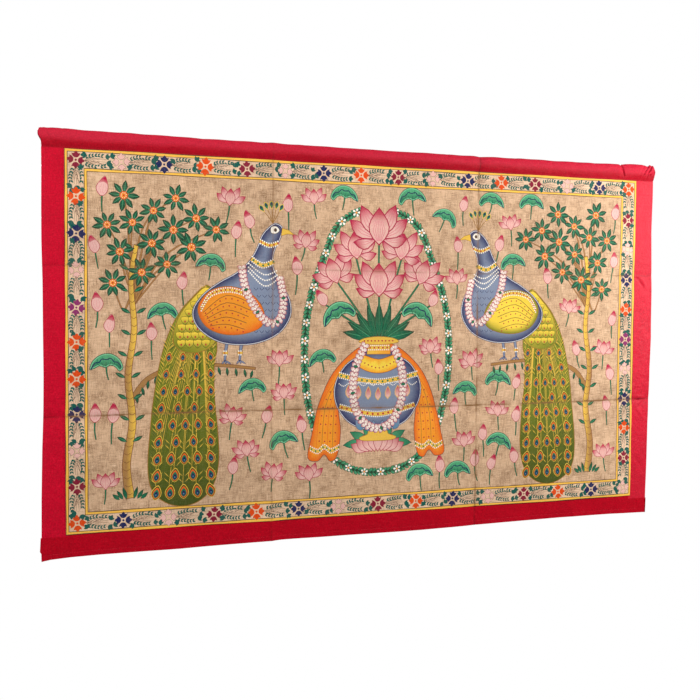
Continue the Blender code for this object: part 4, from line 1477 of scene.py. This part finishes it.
def makeSleeve():
    left, right, seam = fold["lipLeft"], fold["lipRight"], cloth["seamTop"]
    marks = columnMarks() + [gather[0] for gather in sleeve["gathers"]]
    marks += list(np.arange(left, left + sleeve["endLengths"][0], sleeve["endStep"]))
    marks += list(np.arange(right - sleeve["endLengths"][1], right, sleeve["endStep"]))
    x = evenly(left, right, sleeve["step"], marks)
    seamMiddle = cloth["gap"] + cloth["sheet"] + cloth["plyGap"] / 2.0
    rows = []
    for depth, fixedHeight, roundness in sleevePath():
        if fixedHeight is None:
            height = lappedEdge(x, redCloth["sleeveCorner"], seam - cloth["lap"]) - seam
        else:
            height = np.full_like(x, fixedHeight)
        squeeze = 1.0 - roundness * sleevePinch(x, height) / sleeve["reach"]
        wave = foldDepth(x, np.minimum(seam, seam + height)) * (1.0 - roundness * sleeve["straightness"])
        y = wave + seamMiddle + depth * squeeze
        height = sleeveHeight(x, height, squeeze)
        neck = 1.0 - smoothShare(height, sleeve["lipLow"], sleeve["lipHigh"])
        leftPull = neck * smoothShare(left + sleeve["lipReach"] - x, 0.0, sleeve["lipReach"])
        rightPull = neck * smoothShare(x - right + sleeve["lipReach"], 0.0, sleeve["lipReach"])
        pull = leftPull * (sleeve["neckLeft"] - left) + rightPull * (sleeve["neckRight"] - right)
        rows.append(np.stack([x + pull, y, seam + height], axis=-1))
    return makeSheet("rod_sleeve", np.array(rows)[::-1], cloth["sheet"] / 2.0, cloth["sheet"] / 2.0)


stitches = {
    "gap": 0.0046,
    "length": 0.0034,
    "thread": 0.00055,
    "lean": 4.0,            # degrees, at most
    "sunk": 0.00008,        # how deep the thread's middle sits under the cloth's face
    "sleeveAbove": 0.0032,  # the sleeve's seam, above the painted cloth's top edge
    "pathStep": 0.02,
    "pathEnds": 0.012,      # the level seams stop this far from the ends
    "sidePath": (-0.052, -1.026),   # top and bottom of the strips' seams
    "lookFrom": -0.5,       # the cloth's face is looked up from here
}


def makeStitches(rows):     # rows of (the cloth, x and z of the points that the seam passes)
    bpy.ops.object.select_all(action="DESELECT")
    bpy.ops.mesh.primitive_uv_sphere_add(segments=6, ring_count=4, radius=0.5,
                                         rotation=(0.0, math.pi / 2.0, 0.0))
    stitch = bpy.context.object
    bpy.ops.object.transform_apply(rotation=True)
    bpy.ops.transform.resize(value=(stitches["length"], stitches["thread"], stitches["thread"]))
    bpy.ops.object.transform_apply(scale=True)
    shape = np.array([vertex.co for vertex in stitch.data.vertices])
    ring = [tuple(face.vertices) for face in stitch.data.polygons]
    bpy.data.objects.remove(stitch)
    points, faces = [], []
    for piece, path in rows:
        for x, z, turn in spacedAlong(path, stitches["gap"], stitches["gap"] / 2.0):
            hit, spot, normal, face = piece.ray_cast((x, stitches["lookFrom"], z), (0.0, 1.0, 0.0))
            if not hit:
                continue
            angle = math.radians(turn + rng.uniform(-stitches["lean"], stitches["lean"]))
            ahead = Vector((math.cos(angle), 0.0, math.sin(angle)))
            ahead = (ahead - normal * ahead.dot(normal)).normalized()
            matrix = np.array(Matrix((ahead, normal.cross(ahead), normal)).transposed())
            faces += [tuple(corner + len(points) * len(shape) for corner in corners) for corners in ring]
            points.append(shape @ matrix.T + np.array(spot - normal * stitches["sunk"]))
    print("stitches:", len(points))
    return addObject("seam_stitches", makeMesh("seam_stitches", points, faces))


def seamPaths(left, right, band, tube):
    step, ends = stitches["pathStep"], stitches["pathEnds"]
    across = [float(x) for x in np.arange(fold["lipLeft"] + ends, fold["lipRight"] - ends, step)]
    hemRow = [(x, float(readEdge(redCloth["bottomEdge"], x)) + redCloth["bandHem"]) for x in across]
    sleeveRow = [(x, cloth["seamTop"] + stitches["sleeveAbove"]) for x in across]
    rows = [(band, hemRow), (tube, sleeveRow)]
    down = [float(z) for z in np.arange(*stitches["sidePath"], -step)]
    for piece, column, way in ((left, 1, 1.0), (right, 2, -1.0)):
        shift = way * redCloth["stripHem"]
        rows.append((piece, [(float(readEdge(redCloth["stripSides"], z, column)) + shift, z) for z in down]))
    return rows


# Materials
finish = {
    "threadPitch": 0.0011,
    "threadDepth": 0.00025,
    "creaseDirt": (0.20, 0.095, 0.035, 1.0),
    "creaseLine": 0.0022,   # half width of a crease's dark line
    "creaseHalo": 0.011,
    "creaseFray": 0.0030,
    "creaseStrength": ((0.55, 0.9), (0.45, 1.0)),   # of the upright and the level creases
    "floor": (0.9, 0.9, 0.9, 1.0),
    "floorRoughness": 0.9,
}
paintedCotton = {
    "groundPale": (0.80, 0.575, 0.39, 1.0),
    "groundBrown": (0.21, 0.112, 0.052, 1.0),
    "lineDirt": 0.78,       # how much the creases' lines and halos darken it
    "haloDirt": 0.26,
    "roughness": (0.72, 0.62),      # bare and painted
    "gloss": 0.08,
    "threadDepth": 0.00022,
}
rawCotton = {
    "pale": (0.62, 0.50, 0.35, 1.0),
    "blotch": (0.42, 0.29, 0.165, 1.0),
    "streak": (0.36, 0.26, 0.16, 1.0),
    "fleck": (0.24, 0.15, 0.08, 1.0),
    "lineDirt": 0.4,
    "roughness": 0.92,
}
redCotton = {
    "tones": {              # tone and its deeper one
        "strip": ((0.66, 0.0016, 0.026, 1.0), (0.47, 0.0012, 0.016, 1.0)),
        # the band's and the sleeve's reds are darker copies of the strip's red cotton: painted shade, the
        # sleeve's for its lower half
        "band": ((0.52, 0.0006, 0.013, 1.0), (0.38, 0.0006, 0.009, 1.0)),
        "sleeve": ((0.47, 0.0005, 0.014, 1.0), (0.35, 0.0004, 0.009, 1.0)),
    },
    "fuzz": (0.75, 0.10, 0.13, 1.0),
    # painted highlight: the lighter red that the sleeve's upper half turns to
    "paintedTopLight": (0.53, 0.012, 0.036, 1.0),
    "paintedTopLightFrom": (-0.022, -0.010),  # the sleeve's red is painted lighter above these heights: painted highlight for light from above
    "dirt": (0.12, 0.004, 0.006, 1.0),
    "lineDirt": 0.52,
    "haloDirt": 0.12,
    "roughness": (0.50, 0.42),      # from thin to thick threads
    "sheen": 0.04,
    "sheenRoughness": 0.40,
}
redThread = {
    "tone": (0.42, 0.006, 0.020, 1.0),
    "pale": (0.62, 0.020, 0.045, 1.0),
    "twist": 900.0,
    "twistDepth": 0.00005,
    "roughness": 0.55,
}


def newGroup(name, inputs, outputs):
    tree = bpy.data.node_groups.new(name, "ShaderNodeTree")
    for way, sockets in (("INPUT", inputs), ("OUTPUT", outputs)):
        for socketName, kind in sockets.items():
            tree.interface.new_socket(socketName, in_out=way, socket_type="NodeSocket" + kind)
    return tree, tree.nodes.new("NodeGroupInput"), tree.nodes.new("NodeGroupOutput")


def calc(tree, operation, first, second=None, third=None, clamp=False):
    node = tree.nodes.new("ShaderNodeMath")
    node.operation, node.use_clamp = operation, clamp
    for socket, value in zip(node.inputs, (first, second, third)):
        if isinstance(value, (int, float)):
            socket.default_value = value
        elif value is not None:
            tree.links.new(value, socket)
    return node.outputs[0]


def times(tree, first, second):
    return calc(tree, "MULTIPLY", first, second)


def blendTones(tree, share, first, second, mode="MIX"):
    node = tree.nodes.new("ShaderNodeMix")
    node.data_type, node.blend_type = "RGBA", mode
    sockets = [node.inputs[0]] + [socket for socket in node.inputs if socket.type == "RGBA"]
    for socket, value in zip(sockets, (share, first, second)):
        if isinstance(value, (int, float, tuple)):
            socket.default_value = value
        else:
            tree.links.new(value, socket)
    return [socket for socket in node.outputs if socket.type == "RGBA"][0]


def shaded(tree, tone, shade):      # the tone times the shade
    shadeTone = addNode(tree, "CombineColor", links={"Red": shade, "Green": shade, "Blue": shade})
    return blendTones(tree, 1.0, tone, shadeTone.outputs[0], "MULTIPLY")


def stained(tree, tone, stain, value, low, high, most=1.0):     # the stain comes as the value rises
    return blendTones(tree, ranged(tree, value, low, high, 0.0, most), tone, stain)


def creaseDirt(tree, tone, marks, dirtTone, looks):
    dirt = times(tree, marks["Halo"], looks["haloDirt"])
    dirt = calc(tree, "MULTIPLY_ADD", marks["Line"], looks["lineDirt"], dirt)
    return blendTones(tree, dirt, tone, dirtTone)


def noiseOf(tree, vector, scale, detail=3.0, rough=0.5):
    values = {"Scale": scale, "Detail": detail, "Roughness": rough}
    return addNode(tree, "TexNoise", values, {"Vector": vector}).outputs["Fac"]


def ranged(tree, value, low, high, toLow=0.0, toHigh=1.0):
    values = {"From Min": low, "From Max": high, "To Min": toLow, "To Max": toHigh}
    return addNode(tree, "MapRange", values, {"Value": value}).outputs[0]


def bumpFrom(tree, shader, height, distance):
    bump = addNode(tree, "Bump", {"Distance": distance, "Strength": 1.0}, {"Height": height})
    tree.links.new(bump.outputs[0], shader.inputs["Normal"])


def makeWeaveGroup():       # plain weave: threads pass over and under each other
    tree, given, result = newGroup("plain weave", {"Size": "Vector", "Pitch": "Float"},
                                   {"Height": "Float", "Slub": "Float"})
    parts = addNode(tree, "SeparateXYZ", links={"Vector": given.outputs["Size"]})
    heights = []
    for own, other, phase in (("X", "Y", 0.0), ("Y", "X", 1.0)):
        count = calc(tree, "DIVIDE", parts.outputs[own], given.outputs["Pitch"])
        crossing = calc(tree, "DIVIDE", parts.outputs[other], given.outputs["Pitch"])
        middle = calc(tree, "SUBTRACT", times(tree, calc(tree, "FRACT", count), 2.0), 1.0)
        roundness = calc(tree, "SUBTRACT", 1.0, times(tree, middle, middle))
        turn = calc(tree, "ADD", crossing, calc(tree, "ADD", calc(tree, "FLOOR", count), phase))
        wave = calc(tree, "MULTIPLY_ADD", calc(tree, "SINE", times(tree, turn, math.pi)), 0.4, 0.6)
        heights.append(times(tree, roundness, wave))
    tree.links.new(calc(tree, "MAXIMUM", *heights), result.inputs["Height"])
    slubs = []
    for stretch in ((38.0, 700.0, 1.0), (700.0, 38.0, 1.0)):    # thick and thin threads, both ways
        streak = addNode(tree, "Mapping", {"Scale": stretch}, {"Vector": given.outputs["Size"]})
        slubs.append(noiseOf(tree, streak.outputs[0], 1.0, 2.0))
    tree.links.new(times(tree, calc(tree, "ADD", *slubs), 0.5), result.inputs["Slub"])
    return tree


def makeCreaseGroup():      # how near a point lies to the four fold lines
    tree, given, result = newGroup("crease marks", {"Place": "Vector"}, {"Line": "Float", "Halo": "Float"})
    parts = addNode(tree, "SeparateXYZ", links={"Vector": given.outputs["Place"]})
    across, height = parts.outputs["X"], parts.outputs["Z"]
    down = calc(tree, "DIVIDE", height, fold["bottom"])
    fromLeft = calc(tree, "SUBTRACT", across, fold["lipLeft"])
    over = calc(tree, "DIVIDE", fromLeft, fold["lipRight"] - fold["lipLeft"])
    fray = noiseOf(tree, given.outputs["Place"], 160.0)
    patch = noiseOf(tree, given.outputs["Place"], 17.0)
    shift = times(tree, calc(tree, "SUBTRACT", fray, 0.5), finish["creaseFray"])
    lines, halos = [], []
    uprightStrength, levelStrength = finish["creaseStrength"]
    marks = [(across, down, *pair) for pair in zip(fold["upright"], uprightStrength)]
    marks += [(height, over, *pair) for pair in zip(fold["level"], levelStrength)]
    for value, lengthwise, crease, strength in marks:
        turn = times(tree, lengthwise, fold["wanderTurn"])
        wander = times(tree, calc(tree, "SINE", turn), crease[4])
        middle = calc(tree, "ADD", calc(tree, "ADD", wander, crease[0]), shift)
        distance = calc(tree, "ABSOLUTE", calc(tree, "SUBTRACT", value, middle))
        for masks, width in ((lines, finish["creaseLine"]), (halos, finish["creaseHalo"])):
            ratio = calc(tree, "DIVIDE", distance, width)
            fall = calc(tree, "EXPONENT", times(tree, times(tree, ratio, ratio), -1.0))
            masks.append(times(tree, fall, strength))
    breaks = calc(tree, "MULTIPLY_ADD", calc(tree, "SUBTRACT", patch, 0.42), 3.2, 0.45, clamp=True)
    for masks, name in ((lines, "Line"), (halos, "Halo")):
        most = masks[0]
        for mask in masks[1:]:
            most = calc(tree, "MAXIMUM", most, mask)
        tree.links.new(times(tree, most, breaks), result.inputs[name])
    return tree


def startMaterial(name):
    material = bpy.data.materials.new(name)
    material.use_nodes = True
    return material, material.node_tree, material.node_tree.nodes["Principled BSDF"]


def startCloth(name, weave, creases):       # with the place on the hanging, the threads and the crease marks
    material, tree, shader = startMaterial(name)
    place = addNode(tree, "TexCoord").outputs["Object"]
    size = addNode(tree, "UVMap", uv_map="clothSize").outputs[0]
    threads = addNode(tree, "Group", {"Pitch": finish["threadPitch"]}, {"Size": size}, node_tree=weave)
    marks = addNode(tree, "Group", links={"Place": place}, node_tree=creases)
    return material, tree, shader, place, threads.outputs, marks.outputs


def makePaintMaterial(weave, creases):
    material, tree, shader, place, threads, marks = startCloth("painted cotton", weave, creases)
    paint = addNode(tree, "Attribute", attribute_name="paint")
    tone, cover = paint.outputs["Color"], paint.outputs["Alpha"]
    grain = noiseOf(tree, place, 420.0, 2.0, 0.6)
    blotch = noiseOf(tree, place, 24.0, 5.0, 0.65)
    cloud = noiseOf(tree, place, 5.0, 3.0)
    bare = calc(tree, "SUBTRACT", 1.0, times(tree, cover, 0.86))
    streak = threads["Slub"]
    brown = calc(tree, "MULTIPLY_ADD", blotch, 0.85, calc(tree, "MULTIPLY_ADD", streak, 1.3, grain))
    brown = times(tree, ranged(tree, brown, 1.46, 1.90, 0.0, 0.92), bare)
    pale = times(tree, ranged(tree, streak, 0.47, 0.36, 0.0, 0.75), bare)
    worn = ranged(tree, calc(tree, "MULTIPLY_ADD", blotch, 0.4, streak), 0.70, 0.94, 0.0, 0.07)
    tone = blendTones(tree, times(tree, worn, cover), tone, (*linear("ground"), 1.0))
    tone = blendTones(tree, pale, tone, paintedCotton["groundPale"])
    tone = blendTones(tree, brown, tone, paintedCotton["groundBrown"])
    shade = calc(tree, "MULTIPLY_ADD", grain, 0.62, 0.69)
    shade = times(tree, shade, ranged(tree, cloud, 0.3, 0.7, 0.90, 1.08))
    tone = shaded(tree, tone, shade)
    tone = creaseDirt(tree, tone, marks, finish["creaseDirt"], paintedCotton)
    tree.links.new(tone, shader.inputs["Base Color"])
    roughness = ranged(tree, cover, 0.0, 1.0, *paintedCotton["roughness"])
    tree.links.new(roughness, shader.inputs["Roughness"])
    relief = calc(tree, "MULTIPLY_ADD", cover, -0.35, 1.0)      # the paint fills the weave
    height = calc(tree, "MULTIPLY_ADD", threads["Height"], relief, times(tree, grain, 0.5))
    shader.inputs["Specular IOR Level"].default_value = paintedCotton["gloss"]
    bumpFrom(tree, shader, height, paintedCotton["threadDepth"])
    return material


def makeBackMaterial(weave, creases):
    material, tree, shader, place, threads, marks = startCloth("raw cotton back", weave, creases)
    blotch, fleck = noiseOf(tree, place, 9.0, 5.0, 0.6), noiseOf(tree, place, 330.0, 3.0, 0.65)
    tone = stained(tree, rawCotton["pale"], rawCotton["blotch"], blotch, 0.42, 0.72, 0.45)
    tone = stained(tree, tone, rawCotton["streak"], threads["Slub"], 0.36, 0.62, 0.48)
    tone = stained(tree, tone, rawCotton["fleck"], fleck, 0.58, 0.80, 0.55)
    dirt = times(tree, marks["Line"], rawCotton["lineDirt"])
    tone = blendTones(tree, dirt, tone, finish["creaseDirt"])
    tree.links.new(tone, shader.inputs["Base Color"])
    shader.inputs["Roughness"].default_value = rawCotton["roughness"]
    bumpFrom(tree, shader, threads["Height"], finish["threadDepth"])
    return material


def makeRedMaterial(name, weave, creases, tones, gloss, paintedTopLight):
    material, tree, shader, place, threads, marks = startCloth(name, weave, creases)
    tone, deep = redCotton["tones"][tones]
    cloud = noiseOf(tree, place, 11.0, 5.0, 0.6)
    fuzz = noiseOf(tree, place, 420.0, 2.0)
    mixed = stained(tree, deep, tone, threads["Slub"], 0.34, 0.66)
    mixed = stained(tree, mixed, deep, cloud, 0.38, 0.66, 0.55)
    mixed = stained(tree, mixed, redCotton["fuzz"], fuzz, 0.55, 0.8, 0.10)
    # painted highlight: the sleeve's upper part turns to a lighter red, standing in for light from above
    if paintedTopLight:
        height = addNode(tree, "SeparateXYZ", links={"Vector": place}).outputs["Z"]
        height = calc(tree, "MULTIPLY_ADD", noiseOf(tree, place, 6.0, 3.0), 0.014, height)
        mixed = stained(tree, mixed, redCotton["paintedTopLight"], height, *redCotton["paintedTopLightFrom"], paintedTopLight)
    mixed = creaseDirt(tree, mixed, marks, redCotton["dirt"], redCotton)
    shade = calc(tree, "MULTIPLY_ADD", noiseOf(tree, place, 260.0, 3.0, 0.6), 0.90, 0.55)
    tree.links.new(shaded(tree, mixed, shade), shader.inputs["Base Color"])
    roughness = ranged(tree, threads["Slub"], 0.3, 0.7, *redCotton["roughness"])
    tree.links.new(roughness, shader.inputs["Roughness"])
    shader.inputs["Specular IOR Level"].default_value = gloss
    shader.inputs["Sheen Weight"].default_value = redCotton["sheen"]
    shader.inputs["Sheen Roughness"].default_value = redCotton["sheenRoughness"]
    rough = calc(tree, "MULTIPLY_ADD", fuzz, 0.4, threads["Height"])
    rough = calc(tree, "MULTIPLY_ADD", noiseOf(tree, place, 46.0, 4.0, 0.6), 11.0, rough)
    bumpFrom(tree, shader, rough, finish["threadDepth"])
    return material


def makeThreadMaterial():
    material, tree, shader = startMaterial("red thread")
    place = addNode(tree, "TexCoord").outputs["Object"]
    values = {"Scale": redThread["twist"], "Distortion": 1.5, "Detail": 1.0}
    twist = addNode(tree, "TexWave", values, {"Vector": place}, bands_direction="DIAGONAL")
    twist = twist.outputs["Fac"]
    tone = stained(tree, redThread["tone"], redThread["pale"], twist, 0.2, 0.8)
    tree.links.new(tone, shader.inputs["Base Color"])
    shader.inputs["Roughness"].default_value = redThread["roughness"]
    bumpFrom(tree, shader, twist, redThread["twistDepth"])
    return material


# The floor, and everything put together
def addFloor():
    bpy.ops.object.select_all(action="DESELECT")
    bpy.ops.mesh.primitive_circle_add(vertices=96, radius=studio["floorRadius"], fill_type="NGON",
                                      location=(0.0, 0.0, -studio["floorDrop"]))
    floor = bpy.context.object
    floor.name = "floor"
    bpy.ops.object.transform_apply(location=True)
    material, tree, shader = startMaterial("pale floor")
    shader.inputs["Base Color"].default_value = finish["floor"]
    shader.inputs["Roughness"].default_value = finish["floorRoughness"]
    floor.data.materials.append(material)


setCamera()
setLamps()
setFill()
addFloor()
print("camera, light and floor are set")

paintAll()
painted = makePaintedCloth()
leftStrip, leftSize = makeStrip("left_red_strip", "left")
rightStrip, rightSize = makeStrip("right_red_strip", "right")
band, bandSize = makeBand()
rodSleeve, sleeveSize = makeSleeve()
bpy.context.view_layer.update()
threads = makeStitches(seamPaths(leftStrip, rightStrip, band, rodSleeve))

weaveGroup, creaseGroup = makeWeaveGroup(), makeCreaseGroup()
painted.data.materials.append(makePaintMaterial(weaveGroup, creaseGroup))
painted.data.materials.append(makeBackMaterial(weaveGroup, creaseGroup))
# the band's and the sleeve's darker tones are painted shade, and the sleeve's lighter top is a painted
# highlight
for piece, name, tones, gloss, paintedTopLight in (
    (leftStrip, "red cotton", "strip", 0.06, 0.0), (rightStrip, "rubbed red cotton", "strip", 0.23, 0.0),
    (band, "deep red cotton", "band", 0.04, 0.0), (rodSleeve, "sleeve cotton", "sleeve", 0.10, 0.85),
):
    piece.data.materials.append(makeRedMaterial(name, weaveGroup, creaseGroup, tones, gloss, paintedTopLight))
threads.data.materials.append(makeThreadMaterial())
print("materials are made")

for piece, node, slot, size in (
    (painted, "painted_cloth", "painted_cotton", (painting["width"] / 1000.0, painting["height"] / 1000.0)),
    (leftStrip, "left_strip", "red_cotton", leftSize),
    (rightStrip, "right_strip", "red_cotton", rightSize),
    (band, "bottom_band", "red_cotton", bandSize),
    (rodSleeve, "top_sleeve", "red_cotton", sleeveSize),
):
    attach(piece, "root")
    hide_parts(node)

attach(threads, "root")
